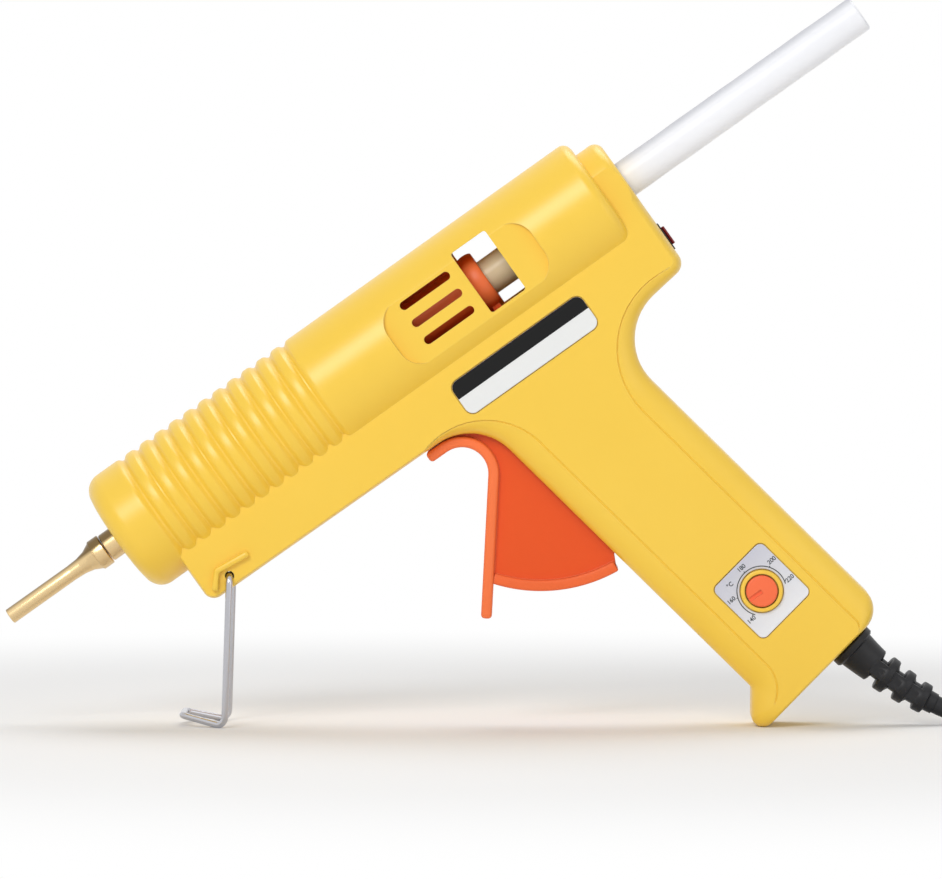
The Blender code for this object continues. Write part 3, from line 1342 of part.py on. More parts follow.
def name_plate(surface, parent):
    back = -BODY_HALF_WIDTH + PLATE_RECESS - PLATE_GAP
    plate = prism("name_plate", name_plate_outline(0), back, back - PLATE_THICKNESS)
    return finish(plate, surface, parent)


def dial_knob(surface, parent):
    s, h = grip_point(DIAL_DOWN, DIAL_BACK)
    back, front = -BODY_HALF_WIDTH - KNOB_BACK_PROUD, -BODY_HALF_WIDTH - KNOB_PROUD
    knob = rod("dial_knob", s, h, back, front, KNOB_R)
    shaft = -BODY_HALF_WIDTH - POT_SHAFT_PROUD - GAP
    cut(knob, rod("bore", s, h, back + OVERRUN, shaft, POT_SHAFT_R + GAP, PIN_SEGMENTS))
    low = (s - KNOB_R * 2, front - OVERRUN, h - KNOB_NOTCH_WIDTH / 2)
    cut(knob, block("notch", low, (s, front + KNOB_NOTCH_DEPTH, h + KNOB_NOTCH_WIDTH / 2)))
    return finish(knob, surface, parent, (s, back, h))


def switch_body(surface, parent):
    """The switch's case, open at the back for the rocker."""
    front, back = REAR_S - SWITCH_DEPTH + GAP, REAR_S + SWITCH_PROUD
    low_h, high_h = SWITCH_H - SWITCH_HALF_HEIGHT, SWITCH_H + SWITCH_HALF_HEIGHT
    body = block("switch_body", (front, -SWITCH_HALF_WIDTH, low_h), (back, SWITCH_HALF_WIDTH, high_h))
    well = REAR_S + ROCKER_PROUD - ROCKER_DEPTH - GAP * 3
    inner_y = SWITCH_HALF_WIDTH - SWITCH_WALL
    low = (well, -inner_y, low_h + SWITCH_WALL)
    cut(body, block("well", low, (back + OVERRUN, inner_y, high_h - SWITCH_WALL)))
    return finish(body, surface, parent)


def switch_rocker(surface, parent):
    """The rocker, pressed at its right end: two shallow faces that meet in the middle."""
    half = SWITCH_HALF_WIDTH - SWITCH_WALL - GAP * 2
    tall = SWITCH_HALF_HEIGHT - SWITCH_WALL - RUNNING_GAP
    drop = half * math.tan(ROCKER_TILT)
    front = REAR_S + ROCKER_PROUD
    outline = [
        (front - ROCKER_DEPTH, -half / 2),
        (front - ROCKER_DEPTH, half / 2),
        (front - drop, half),
        (front, half),
        (front - drop, 0),
        (front, -half),
        (front - drop, -half),
    ]
    shape = bmesh.new()
    verts = [shape.verts.new((s - REAR_S, y, -tall)) for s, y in outline]
    face = shape.faces.new(verts)
    grown = bmesh.ops.extrude_face_region(shape, geom=[face])["geom"]
    moved = [item for item in grown if isinstance(item, bmesh.types.BMVert)]
    bmesh.ops.translate(shape, verts=moved, vec=(0, 0, tall * 2))
    rocker = from_bmesh("switch_rocker", shape)
    rocker.data.transform(Matrix.Rotation(ROCKER_TILT, 4, "Z"))
    rocker.data.transform(Matrix.Translation((REAR_S, 0, SWITCH_H)))
    return finish(rocker, surface, parent, (REAR_S, 0, SWITCH_H))


# Stand


def toe_height():
    """The lowest place of the grip's toe in the world, before the gun is set down."""
    outline = rounded(inset_corners(body_corners(0), 0, 0))
    return min(height(point) for point in outline)


def stand_points(leg):
    """The stand's path for a leg of this length, out of one pin, round the front and back in."""
    down = ahead(LEG_LEAN)
    corner = (STAND_S + leg * down[0], STAND_H + leg * down[1])
    forward = ahead(math.pi / 2 + FOOT_RISE)
    front = (corner[0] + FOOT_LENGTH * forward[0], corner[1] + FOOT_LENGTH * forward[1])
    half = [
        (STAND_S, STAND_PIN_END_Y, STAND_H),
        (STAND_S, LEG_Y, STAND_H),
        (corner[0], LEG_Y, corner[1]),
        (front[0], CROSS_BAR_HALF_WIDTH, front[1]),
    ]
    other = [(s, -y, h) for s, y, h in reversed(half)]
    return bend_path(half + other, STAND_BEND)


def wire_stand(surface, parent):
    """One bent wire: two pins in the lug, two legs, two feet and the bar across the front."""
    leg = -STAND_H
    lowest = min(height((point.x, point.z)) for point in stand_points(leg))
    leg += (lowest - WIRE_R - toe_height()) / math.cos(LEG_LEAN)
    origin = Vector((STAND_S, 0, STAND_H))
    made = tube("wire_stand", [point - origin for point in stand_points(leg)], WIRE_R, 2)
    return finish(made, surface, parent, origin)


# Strain relief, cord and plug


def relief_line():
    """The bent middle line of the strain relief, as a place and a direction at a length along it."""
    start = grip_point(GRIP_LENGTH, RELIEF_BACK)
    total = RELIEF_FLANGE_LENGTH + RELIEF_CONE_LENGTH + RELIEF_COUNT * RELIEF_PITCH

    def at(length):
        turn = RELIEF_BEND * max(length, 0) / total
        angle = -HANDLE_SLANT + turn
        if length <= 0:
            s = start[0] + length * math.cos(angle)
            return (s, start[1] + length * math.sin(angle)), angle
        radius = total / RELIEF_BEND
        s = start[0] + radius * (math.sin(angle) - math.sin(-HANDLE_SLANT))
        h = start[1] - radius * (math.cos(angle) - math.cos(-HANDLE_SLANT))
        return (s, h), angle

    return at, total


def relief_profile():
    """The relief's radius along its length: neck, flange, cone and fins that get smaller."""
    flange = GAP + RELIEF_FLANGE_LENGTH
    cone = flange + RELIEF_CONE_LENGTH
    profile = [(-RELIEF_INSIDE, RELIEF_NECK_R), (GAP, RELIEF_NECK_R), (GAP, RELIEF_FLANGE_R)]
    profile += [(flange, RELIEF_FLANGE_R), (cone, RELIEF_CONE_R - (RELIEF_CONE_R - RELIEF_CORE_R) / 3)]
    for index in range(RELIEF_COUNT):
        fin = RELIEF_FIN_R - (RELIEF_FIN_R - RELIEF_LAST_FIN_R) * index / (RELIEF_COUNT - 1)
        start = cone + index * RELIEF_PITCH
        profile += [(start + RELIEF_PITCH * share, RELIEF_CORE_R) for share in RELIEF_GROOVE_SHARES]
        fin_start, fin_end = (start + RELIEF_PITCH * share for share in RELIEF_FIN_SHARES)
        profile += [(fin_start, fin), (fin_end, fin * RELIEF_FIN_TAPER_SHARE)]
    return profile


def strain_relief(surface, parent):
    at, _ = relief_line()
    rings = []
    for length, radius in relief_profile():
        (s, h), angle = at(length)
        along = Vector((math.cos(angle), 0, math.sin(angle)))
        up = Vector((-along.z, 0, along.x))
        ring = []
        for index in range(PIN_SEGMENTS):
            turn = math.tau * index / PIN_SEGMENTS
            offset = up * radius * math.cos(turn) + Vector((0, radius * math.sin(turn), 0))
            ring.append(Vector((s, 0, h)) + offset)
        rings.append(ring)
    return finish(loft("strain_relief", rings), surface, parent)


def swing(start, aside, rise, along):
    """A stretch that starts and ends level along x and moves so far aside and up between."""
    points = []
    for index in range(SWING_POINTS + 1):
        share = index / SWING_POINTS
        blend = (1 - math.cos(math.pi * share)) / 2
        points.append(start + Vector((along * share, aside * blend, rise * blend)))
    return points


def settling(start, way):
    """A bend in the middle plane from the relief's direction to level on the floor."""
    lean = math.atan2(-way.z, way.x)
    radius = (start.z - CORD_ON_FLOOR) / (1 - math.cos(lean))
    points = []
    for index in range(SWING_POINTS // 2 + 1):
        angle = lean * (1 - index / (SWING_POINTS // 2))
        ahead_by = radius * (math.sin(lean) - math.sin(angle))
        down_by = radius * (math.cos(angle) - math.cos(lean))
        points.append(start + Vector((ahead_by, 0, -down_by)))
    return points


def print_least_gap(name, points, diameter, points_a_turn):
    """Prints how near a wound tube comes to itself."""
    places = np.array([tuple(point) for point in points])
    apart = np.linalg.norm(places[:, None] - places[None], axis=2)
    index = np.arange(len(places))
    near = np.abs(index[:, None] - index[None]) < points_a_turn / 2
    apart[near] = np.inf
    print(name, "least gap to itself in mm:", round((apart.min() - diameter) / MM, 2))


def half_bend(centre, first_angle):
    """The points of half a turn about an upright axis."""
    points = []
    for step in range(HANK_BEND_POINTS):
        angle = first_angle + math.pi * step / HANK_BEND_POINTS
        offset = Vector((math.cos(angle), math.sin(angle), 0)) * HANK_END_R
        points.append(centre + offset)
    return points


def hank_points(start):
    """Long loops laid on each other; each climbs onto the one below at the end of its way back."""
    points = []
    for turn in range(HANK_TURNS):
        low = start + Vector((0, 0, HANK_PITCH * turn))
        for step in range(HANK_RUN_POINTS):
            points.append(low + Vector((HANK_RUN * step / HANK_RUN_POINTS, 0, 0)))
        points += half_bend(low + Vector((HANK_RUN, HANK_END_R, 0)), -math.pi / 2)
        for step in range(HANK_CLIMB_POINTS):
            left = HANK_RUN * (1 - step / HANK_CLIMB_POINTS)
            climb = min(max(1 - left / HANK_CLIMB, 0), 1)
            lift = HANK_PITCH * climb * climb * (3 - 2 * climb)
            points.append(low + Vector((left, HANK_END_R * 2, lift)))
        points += half_bend(low + Vector((0, HANK_END_R, HANK_PITCH)), math.pi / 2)
    points.append(start + Vector((0, 0, HANK_PITCH * HANK_TURNS)))
    points.append(points[-1] + Vector((CORD_R * 2, 0, 0)))
    return points


def cord_pieces(relief_end, relief_way, surface):
    """The cord from the relief to the plug: a free lead, the put-away hank and a free tail."""
    stub, gap = Vector((CORD_STUB, 0, 0)), Vector((GAP, 0, 0))
    lead = settling(relief_end + relief_way * GAP, relief_way)
    lead += swing(lead[-1], -HANK_END_R, 0, LEAD_SWING)[1:]
    lead.append(lead[-1] + stub)
    hank = hank_points(lead[-1] + gap)
    tail_start = hank[-1] + gap
    rise = CORD_R + GAP + PLUG_HEIGHT / 2 - HANK_PITCH
    tail = [tail_start] + swing(tail_start + stub, HANK_END_R, rise, TAIL_SWING)
    tail.append(tail[-1] + stub)
    print_least_gap("cord_coil", hank, CORD_R * 2, HANK_POINTS_A_TURN)
    for name, points, resolution in (
        ("cord_lead", lead, 2),
        ("cord_coil", hank, 1),
        ("cord_tail", tail, 2),
    ):
        made = tube(name, points, CORD_R, resolution)
        made.data.materials.append(surface)
    return tail[-1] + gap


def plug(entry, body_surface, pin_surface):
    """A flat two-pin plug that lies on the hank, its cord neck towards -X."""
    half, start = PLUG_WIDTH / 2, PLUG_NECK_LENGTH
    end = start + PLUG_LENGTH
    waist = half * PLUG_WAIST_SHARE
    corners = [
        (start, -waist, PLUG_ROUND / 2),
        (start + PLUG_SHOULDER, -half, PLUG_ROUND),
        (end, -half, PLUG_ROUND / 4),
        (end, half, PLUG_ROUND / 4),
        (start + PLUG_SHOULDER, half, PLUG_ROUND),
        (start, waist, PLUG_ROUND / 2),
    ]
    shape = bmesh.new()
    verts = [shape.verts.new((x, y, -PLUG_HEIGHT / 2)) for x, y in rounded(corners)]
    grown = bmesh.ops.extrude_face_region(shape, geom=[shape.faces.new(verts)])["geom"]
    moved = [item for item in grown if isinstance(item, bmesh.types.BMVert)]
    bmesh.ops.translate(shape, verts=moved, vec=(0, 0, PLUG_HEIGHT))
    body = bevelled(from_bmesh("plug_body", shape), PLUG_NECK_R / 3)
    join(body, bar("neck", 0, start + LAP * 2, PLUG_NECK_R))
    place(body, body_surface, entry)
    for name, side in (("plug_pin_left", -1), ("plug_pin_right", 1)):
        pin = bar(name, end + GAP, end + GAP + PLUG_PIN_LENGTH, PLUG_PIN_R)
        place(pin, pin_surface, entry + Vector((0, side * PLUG_PIN_SPACING / 2, 0)))


def bar(name, start, end, radius):
    """A round bar along x."""
    return turned(name, [(start, 0), (start, radius), (end, radius), (end, 0)], PIN_SEGMENTS)


def place(made, surface, location):
    made.data.materials.clear()
    made.data.materials.append(surface)
    made.data.shade_smooth()
    made.data.set_sharp_from_angle(angle=SHARP_ANGLE)
    made.location = location


# Whole


def surfaces():
    return {
        "yellow": material("yellow housing", (248, 205, 82), 0.38),
        "orange": material("orange plastic", (236, 92, 34), 0.40),
        "dial": material("dial orange", (255, 115, 65), 0.42),
        "brass": material("nozzle brass", (210, 170, 110), 0.28, 1.0),
        "steel": material("bright steel", (170, 170, 175), 0.25, 1.0),
        "spring": material("spring steel", (150, 150, 155), 0.30, 1.0),
        "cast": material("cast aluminium", (165, 168, 170), 0.45, 1.0),
        "ceramic": material("heater ceramic", (222, 216, 200), 0.60),
        "silicone": material("sleeve silicone", (214, 96, 62), 0.60),
        "stick": material("glue", (236, 240, 236), 0.22),
        "board": material("board green", (32, 92, 58), 0.50),
        "black": material("black plastic", (40, 40, 40), 0.50),
        "rubber": material("cord rubber", (40, 40, 40), 0.60),
        "red": material("switch red", (120, 28, 26), 0.35),
        "silver": material("dial plate silver", (205, 208, 210), 0.30, 0.6),
        "label": material("name plate white", (238, 238, 236), 0.40),
    }


def build_housing(paint, frame):
    shell = housing_shell()
    half_housing(shell, "left_housing", -1, paint["yellow"], frame)
    half_housing(shell, "right_housing", 1, paint["yellow"], frame)
    bpy.data.objects.remove(shell, do_unlink=True)
    for index, (s, h) in enumerate(screw_places()):
        housing_screw(f"housing_screw_{index + 1}", s, h, paint["steel"], frame)


def build_heater(paint, frame):
    nozzle(paint["brass"], frame)
    nozzle_adapter(paint["brass"], frame)
    melt_chamber(paint["cast"], frame)
    heating_element(paint["ceramic"], frame)
    heater_bracket("front_heater_bracket", FRONT_BRACKET_S, paint["steel"], frame)
    heater_bracket("rear_heater_bracket", REAR_BRACKET_S, paint["steel"], frame)
    thermal_cutout(paint["steel"], frame)
    feed_sleeve(paint["silicone"], frame)
    sleeve_clamp(paint["spring"], frame)


def build_feed(paint, frame):
    glue_stick(paint["stick"], frame)
    feed_carriage(paint["orange"], frame)
    clamp_pawl(paint["steel"], frame)
    pawl_pin(paint["steel"], frame)
    trigger(paint["orange"], frame)
    trigger_pin(paint["steel"], frame)
    return_spring(paint["spring"], frame)


def build_controls(paint, frame):
    potentiometer(paint["black"], frame)
    circuit_board(paint["board"], frame)
    dial_plate(paint["silver"], frame)
    dial_knob(paint["dial"], frame)
    name_plate(paint["label"], frame)
    switch_body(paint["black"], frame)
    switch_rocker(paint["red"], frame)


def set_down(frame):
    """Moves the gun so that its box is centred over the origin and its lowest point is at z = 0."""
    bpy.context.view_layer.update()
    graph = bpy.context.evaluated_depsgraph_get()
    places = []
    for item in frame.children:
        seen = item.evaluated_get(graph)
        mesh = seen.to_mesh()
        places += [seen.matrix_world @ vertex.co for vertex in mesh.vertices]
        seen.to_mesh_clear()
    places = np.array([tuple(place) for place in places])
    low, high = places.min(axis=0), places.max(axis=0)
    frame.location = (-(low[0] + high[0]) / 2, -(low[1] + high[1]) / 2, -low[2])
    bpy.context.view_layer.update()


def build():
    clear_scene()
    paint = surfaces()
    frame = empty("gun_frame", (0, 0, 0))
    frame.rotation_euler = (0, -TILT, 0)
    build_housing(paint, frame)
    build_heater(paint, frame)
    build_feed(paint, frame)
    build_controls(paint, frame)
    wire_stand(paint["steel"], frame)
    strain_relief(paint["rubber"], frame)
    set_down(frame)
    at, total = relief_line()
    (s, h), angle = at(relief_profile()[-1][0])
    end = frame.matrix_world @ Vector((s, 0, h))
    way = frame.matrix_world.to_3x3() @ Vector((math.cos(angle), 0, math.sin(angle)))
    entry = cord_pieces(end, way, paint["rubber"])
    plug(entry, paint["black"], paint["steel"])


build()
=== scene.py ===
# %% [markdown]
# # A hot glue applicator, dressed for its picture
#
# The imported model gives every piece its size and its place. This lesson makes the surface that the eye sees:
# the moulded yellow housing with its ribs and creases, the orange trigger, the brass nozzle, the wire stand,
# the dial, the cloudy glue stick and the black cord. Each step says what the piece is and why it is made so.

import math
from collections import namedtuple

import bmesh
import bpy
from mathutils import Matrix, Vector


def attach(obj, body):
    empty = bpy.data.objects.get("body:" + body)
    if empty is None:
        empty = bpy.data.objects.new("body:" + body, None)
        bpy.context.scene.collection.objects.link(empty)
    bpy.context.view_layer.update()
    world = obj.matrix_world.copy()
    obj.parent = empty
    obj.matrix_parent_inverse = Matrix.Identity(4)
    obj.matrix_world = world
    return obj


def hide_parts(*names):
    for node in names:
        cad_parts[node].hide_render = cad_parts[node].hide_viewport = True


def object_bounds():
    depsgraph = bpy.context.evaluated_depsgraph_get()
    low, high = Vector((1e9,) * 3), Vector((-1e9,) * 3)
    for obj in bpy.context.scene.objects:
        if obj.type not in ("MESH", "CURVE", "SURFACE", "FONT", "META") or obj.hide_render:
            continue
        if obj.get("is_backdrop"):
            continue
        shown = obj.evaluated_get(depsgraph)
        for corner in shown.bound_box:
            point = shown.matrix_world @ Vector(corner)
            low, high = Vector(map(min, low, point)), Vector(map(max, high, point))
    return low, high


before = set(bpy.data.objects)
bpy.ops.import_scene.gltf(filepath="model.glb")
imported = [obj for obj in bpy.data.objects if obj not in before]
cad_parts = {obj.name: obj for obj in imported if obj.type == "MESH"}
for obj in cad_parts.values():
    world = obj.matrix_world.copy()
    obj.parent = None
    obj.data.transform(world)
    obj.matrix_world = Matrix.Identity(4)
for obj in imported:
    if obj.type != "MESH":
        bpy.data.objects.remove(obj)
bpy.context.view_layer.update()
MM = 0.001

# %% [markdown]
# ## The camera
# A product picture like this is taken from some way off with a long lens, almost level with the bench. A long
# lens keeps the barrel's sides parallel, so the camera stands 2.2 m off, and looks two and a half degrees down.

# %% Camera
AIM = Vector((-0.6, 0.0, 84.0)) * MM
CAMERA_DISTANCE = 2200 * MM
CAMERA_TURN, CAMERA_RISE = math.radians(0.5), math.radians(2.5)
LENS = 286.0

lens = bpy.data.cameras.new("camera")
lens.lens, lens.sensor_width = LENS, 36.0
lens.clip_start, lens.clip_end = 0.05, 50.0
camera = bpy.data.objects.new("camera", lens)
bpy.context.scene.collection.objects.link(camera)
level = math.cos(CAMERA_RISE)
back = Vector((math.sin(CAMERA_TURN) * level, -math.cos(CAMERA_TURN) * level, math.sin(CAMERA_RISE)))
camera.location = AIM + back * CAMERA_DISTANCE
camera.rotation_mode = "QUATERNION"
camera.rotation_quaternion = (-back).to_track_quat("-Z", "Y")
bpy.context.scene.camera = camera
print("camera at", [round(part, 3) for part in camera.location])

# %% [markdown]
# ## Materials from nodes
# Moulded plastic is never one flat colour. A slow noise moves its tone a little, a fine noise gives the mould's
# grain, and a Bevel node lets every edge catch light, as a real edge has a small radius. The edge also feeds a
# mask that lightens the colour there: a painted highlight along every edge. All patterns read Object coordinates,
# so they stay on the piece.

# %% Helpers for nodes
def linear(value):
    return value / 12.92 if value <= 0.04045 else ((value + 0.055) / 1.055) ** 2.4


def screen_colour(colour):
    """A colour as it looks on a screen, from 0 to 255, as the shader wants it."""
    return (*[linear(part / 255) for part in colour], 1.0)


def feed(tree, socket, value):
    """Gives an input another node's output, or a value of its own."""
    if isinstance(value, bpy.types.NodeSocket):
        tree.links.new(value, socket)
    else:
        socket.default_value = value


def add_node(tree, kind, out=0, *fed, **named):
    """A new node's output. Inputs are fed in their order or by name, and other names are its settings."""
    made = tree.nodes.new(kind)
    for name, value in named.items():
        if name.replace("_", " ") in made.inputs:
            feed(tree, made.inputs[name.replace("_", " ")], value)
        else:
            setattr(made, name, value)
    for socket, value in zip(made.inputs, fed):
        feed(tree, socket, value)
    return made.outputs[out]


def blended(tree, share, one, two):
    """One colour that turns into another as a share goes from 0 to 1."""
    made = tree.nodes.new("ShaderNodeMix")
    made.data_type = "RGBA"
    for index, value in zip((0, 6, 7), (share, one, two)):
        feed(tree, made.inputs[index], value)
    return made.outputs[2]


def along_way(tree, way):
    """How far a point of the piece lies along a direction."""
    place = add_node(tree, "ShaderNodeTexCoord", "Object")
    return add_node(tree, "ShaderNodeVectorMath", "Value", place, way, operation="DOT_PRODUCT")


print("node helpers ready")


# %% A finish, and how it may fade
def finish(name, light, dark, rough=(0.35, 0.45), tone_scale=25.0, grain=1800.0, bump=0.12,
           edge_radius=0.3 * MM, edge_highlight=None, grain_stretch=(1, 1, 1), **fixed):
    """A finish with a slow change of tone, a fine grain, varied gloss, and rounded edges with a painted
    highlight.
    """
    made = bpy.data.materials.new(name)
    made.use_nodes = True
    tree = made.node_tree
    place = add_node(tree, "ShaderNodeTexCoord", "Object")
    slow = add_node(tree, "ShaderNodeTexNoise", Vector=place, Scale=tone_scale, Detail=3.0)
    colour = blended(tree, slow, screen_colour(light), screen_colour(dark))
    stretched = add_node(tree, "ShaderNodeMapping", Vector=place, Scale=grain_stretch)
    fine = add_node(tree, "ShaderNodeTexNoise", Vector=stretched, Scale=grain, Detail=2.0)
    gloss = add_node(tree, "ShaderNodeMapRange", Value=fine, To_Min=rough[0], To_Max=rough[1])
    rounding = add_node(tree, "ShaderNodeBevel", samples=4, Radius=edge_radius)
    relief = add_node(tree, "ShaderNodeBump", Height=fine, Normal=rounding, Strength=bump, Distance=0.05 * MM)
    # Painted highlight: a mask from the Bevel normal lightens the colour along every edge.
    if edge_highlight:
        faced = add_node(tree, "ShaderNodeNewGeometry", "Normal")
        match = add_node(tree, "ShaderNodeVectorMath", "Value", rounding, faced, operation="DOT_PRODUCT")
        edge = add_node(tree, "ShaderNodeMapRange", Value=match, From_Min=0.985, From_Max=0.86, To_Max=0.55)
        colour = blended(tree, edge, colour, screen_colour(edge_highlight))
    shader = tree.nodes["Principled BSDF"]
    for key, value in (fixed | {"Base Color": colour, "Roughness": gloss, "Normal": relief}).items():
        feed(tree, shader.inputs[key.replace("_", " ")], value)
    return made


def fade_across(surface, way, start, end, far_colour, both_sides=False):
    """Fades a finish towards another colour, between two distances along a direction."""
    tree = surface.node_tree
    base = tree.nodes["Principled BSDF"].inputs["Base Color"]
    distance = along_way(tree, way)
    if both_sides:
        distance = add_node(tree, "ShaderNodeMath", 0, distance, operation="ABSOLUTE")
    amount = add_node(tree, "ShaderNodeMapRange", Value=distance, From_Min=start, From_Max=end)
    tree.links.new(blended(tree, amount, base.links[0].from_socket, screen_colour(far_colour)), base)


packed_materials = len(bpy.data.materials)

# %% The finishes of this tool
YELLOW = finish("moulded_yellow", (250, 208, 72), (245, 201, 60), rough=(0.3, 0.4), edge_highlight=(255, 226, 122),
                Coat_Weight=0.22, Coat_Roughness=0.26)
ORANGE = finish("trigger_orange", (238, 88, 20), (230, 78, 14), rough=(0.34, 0.44), edge_highlight=(255, 146, 104),
                edge_radius=0.7 * MM, Specular_IOR_Level=0.35)
DIAL_ORANGE = finish("dial_orange", (255, 118, 70), (246, 104, 56), rough=(0.4, 0.5), edge_highlight=(255, 150, 100))
BRASS = finish("turned_brass", (238, 212, 166), (224, 192, 138), rough=(0.2, 0.27), grain=700.0, bump=0.01,
               grain_stretch=(6, 1, 1), edge_highlight=(250, 232, 196), Metallic=1.0)
STEEL = finish("bright_wire", (200, 200, 204), (178, 178, 184), rough=(0.16, 0.26), grain=900.0, bump=0.02,
               Metallic=1.0)
CAST = finish("cast_aluminium", (176, 178, 180), (150, 152, 155), rough=(0.42, 0.6), grain=900.0, bump=0.4,
              Metallic=1.0)
SCREW_STEEL = finish("screw_steel", (150, 150, 152), (120, 120, 124), rough=(0.3, 0.5), Metallic=1.0)
BLACK = finish("black_plastic", (32, 32, 35), (20, 20, 23), rough=(0.34, 0.5), edge_highlight=(66, 66, 70),
               Specular_IOR_Level=0.35)
RUBBER = finish("cord_rubber", (34, 34, 37), (22, 22, 25), rough=(0.42, 0.56), grain=1200.0, bump=0.25,
                edge_highlight=(58, 58, 61), Specular_IOR_Level=0.35)
RED = finish("switch_red", (136, 30, 28), (108, 20, 20), rough=(0.22, 0.34), edge_highlight=(176, 60, 54))
SILVER = finish("plate_silver", (246, 247, 248), (236, 237, 240), rough=(0.26, 0.38), tone_scale=60.0,
                grain_stretch=(1, 1, 12), Metallic=0.15)
LABEL_WHITE = finish("label_white", (240, 241, 240), (230, 232, 232), rough=(0.3, 0.42), bump=0.05)
LABEL_BLACK = finish("label_black", (18, 18, 19), (10, 10, 11), rough=(0.4, 0.5), bump=0.05,
                     Specular_IOR_Level=0.2)
PRINT = finish("printed_grey", (70, 78, 82), (56, 62, 66), rough=(0.45, 0.6), bump=0.05)
BOARD = finish("board_green", (36, 98, 62), (26, 78, 48), rough=(0.4, 0.6), grain=500.0)
CERAMIC = finish("heater_ceramic", (226, 220, 205), (208, 200, 184), rough=(0.55, 0.75), grain=900.0,
                 bump=0.3)
SILICONE = finish("sleeve_silicone", (216, 100, 66), (196, 84, 52), rough=(0.55, 0.7))
STICK_CLEAR = finish("glue", (251, 252, 255), (243, 244, 249), rough=(0.26, 0.4), grain=260.0, bump=0.02,
                     grain_stretch=(0.2, 1, 1), IOR=1.42)
# The trigger's outer faces are painted paler than its recessed web: a painted highlight on the blade and painted
# shade on the web. The dial's plate greys towards its upper left corner.
fade_across(ORANGE, (0, 1, 0), 5.6 * MM, 7.2 * MM, (250, 122, 66), both_sides=True)
fade_across(SILVER, (-1, 0, 1), -65 * MM, -25 * MM, (196, 197, 210))
print("finishes:", len(bpy.data.materials) - packed_materials)

# %% [markdown]
# ## The gun's own frame
# The gun leans 35.4 degrees nose down. It is far easier to model along the barrel, so every piece is made in a
# frame whose s runs back along the barrel, y across and h up from the barrel's axis. One matrix then puts the
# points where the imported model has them, and the object itself stays at the origin.

# %% The gun's frame
TILT = math.radians(35.4)
GUN_PLACE = Vector((-105.11, 0.0, 53.93)) * MM
GUN = Matrix.Translation(GUN_PLACE) @ Matrix.Rotation(-TILT, 4, "Y")
GAP = 0.3 * MM
RUN = 0.35 * MM
OVER = 5.0 * MM


def new_object(name, data):
    made = bpy.data.objects.new(name, data)
    bpy.context.scene.collection.objects.link(made)
    return made


def discard(made):
    bpy.data.objects.remove(made, do_unlink=True)


def from_bmesh(name, shape, merge=0.002 * MM):
    bmesh.ops.remove_doubles(shape, verts=shape.verts, dist=merge)
    bmesh.ops.recalc_face_normals(shape, faces=shape.faces)
    mesh = bpy.data.meshes.new(name)
    shape.to_mesh(mesh)
    shape.free()
    return new_object(name, mesh)


def evaluated(made):
    """The object's mesh with its modifiers worked in, and the modifiers taken away."""
    graph = bpy.context.evaluated_depsgraph_get()
    graph.update()
    mesh = bpy.data.meshes.new_from_object(made.evaluated_get(graph))
    made.modifiers.clear()
    made.data = mesh
    return made


def meshed(name, curve):
    """The surface of a curve or a text as a mesh."""
    made = new_object(name + " line", curve)
    graph = bpy.context.evaluated_depsgraph_get()
    mesh = bpy.data.meshes.new_from_object(made.evaluated_get(graph))
    discard(made)
    return mesh


def show(made, finish_used, body, slot, *nodes, sharp=28.0, on_gun=True):
    """Puts a piece in its place with its finish, on its body, for the solids that it stands for."""
    made.data.materials.clear()
    made.data.materials.append(finish_used)
    if on_gun:
        made.data.transform(GUN)
    if made.type == "MESH":
        made.data.shade_smooth()
        made.data.set_sharp_from_angle(angle=math.radians(sharp))
    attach(made, body)
    if nodes:
        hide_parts(*nodes)
    print(made.name, "on", body, "for", nodes)
    return made


# %% Solids that the pieces are made of
def turned(name, profile, segments=64, closed=False):
    """A solid turned about the barrel's axis from (s, radius) points."""
    shape = bmesh.new()
    verts = [shape.verts.new((s, 0, radius)) for s, radius in profile]
    edges = [shape.edges.new(pair) for pair in zip(verts, verts[1:])]
    if closed:
        edges.append(shape.edges.new((verts[-1], verts[0])))
    bmesh.ops.spin(shape, geom=verts + edges, axis=(1, 0, 0), cent=(0, 0, 0), steps=segments,
                   angle=math.tau, use_merge=True)
    return from_bmesh(name, shape)


def prism(name, outline, y_low, y_high):
    """An outline of (s, h) points extruded across the gun."""
    shape = bmesh.new()
    face = shape.faces.new([shape.verts.new((s, y_low, h)) for s, h in outline])
    grown = bmesh.ops.extrude_face_region(shape, geom=[face])["geom"]
    moved = [item for item in grown if isinstance(item, bmesh.types.BMVert)]
    bmesh.ops.translate(shape, verts=moved, vec=(0, y_high - y_low, 0))
    return from_bmesh(name, shape)


def rod(name, s, h, y_low, y_high, radius, segments=48):
    turns = [math.tau * (index + 0.5) / segments for index in range(segments)]
    outline = [(s + radius * math.cos(turn), h + radius * math.sin(turn)) for turn in turns]
    return prism(name, outline, y_low, y_high)


def block(name, low, high):
    outline = [(low[0], low[2]), (high[0], low[2]), (high[0], high[2]), (low[0], high[2])]
    return prism(name, outline, low[1], high[1])


def loft(name, rings, closed=False):
    """A solid through rings of as many points each, with flat ends, or closed into a ring itself."""
    shape = bmesh.new()
    loops = [[shape.verts.new(point) for point in ring] for ring in rings]
    if not closed:
        shape.faces.new(loops[0])
        shape.faces.new(list(reversed(loops[-1])))
    for near, far in zip(loops, loops[1:] + loops[:closed]):
        for index in range(len(near)):
            following = (index + 1) % len(near)
            shape.faces.new((near[index], far[index], far[following], near[following]))
    return from_bmesh(name, shape)


def round_line(name, points, radius, resolution):
    """A curve through the points with a round section and closed ends."""
    curve = bpy.data.curves.new(name, "CURVE")
    curve.dimensions, curve.bevel_depth, curve.bevel_resolution = "3D", radius, resolution
    curve.use_fill_caps = True
    line = curve.splines.new("POLY")
    line.points.add(len(points) - 1)
    for target, point in zip(line.points, points):
        target.co = (*point, 1)
    return curve


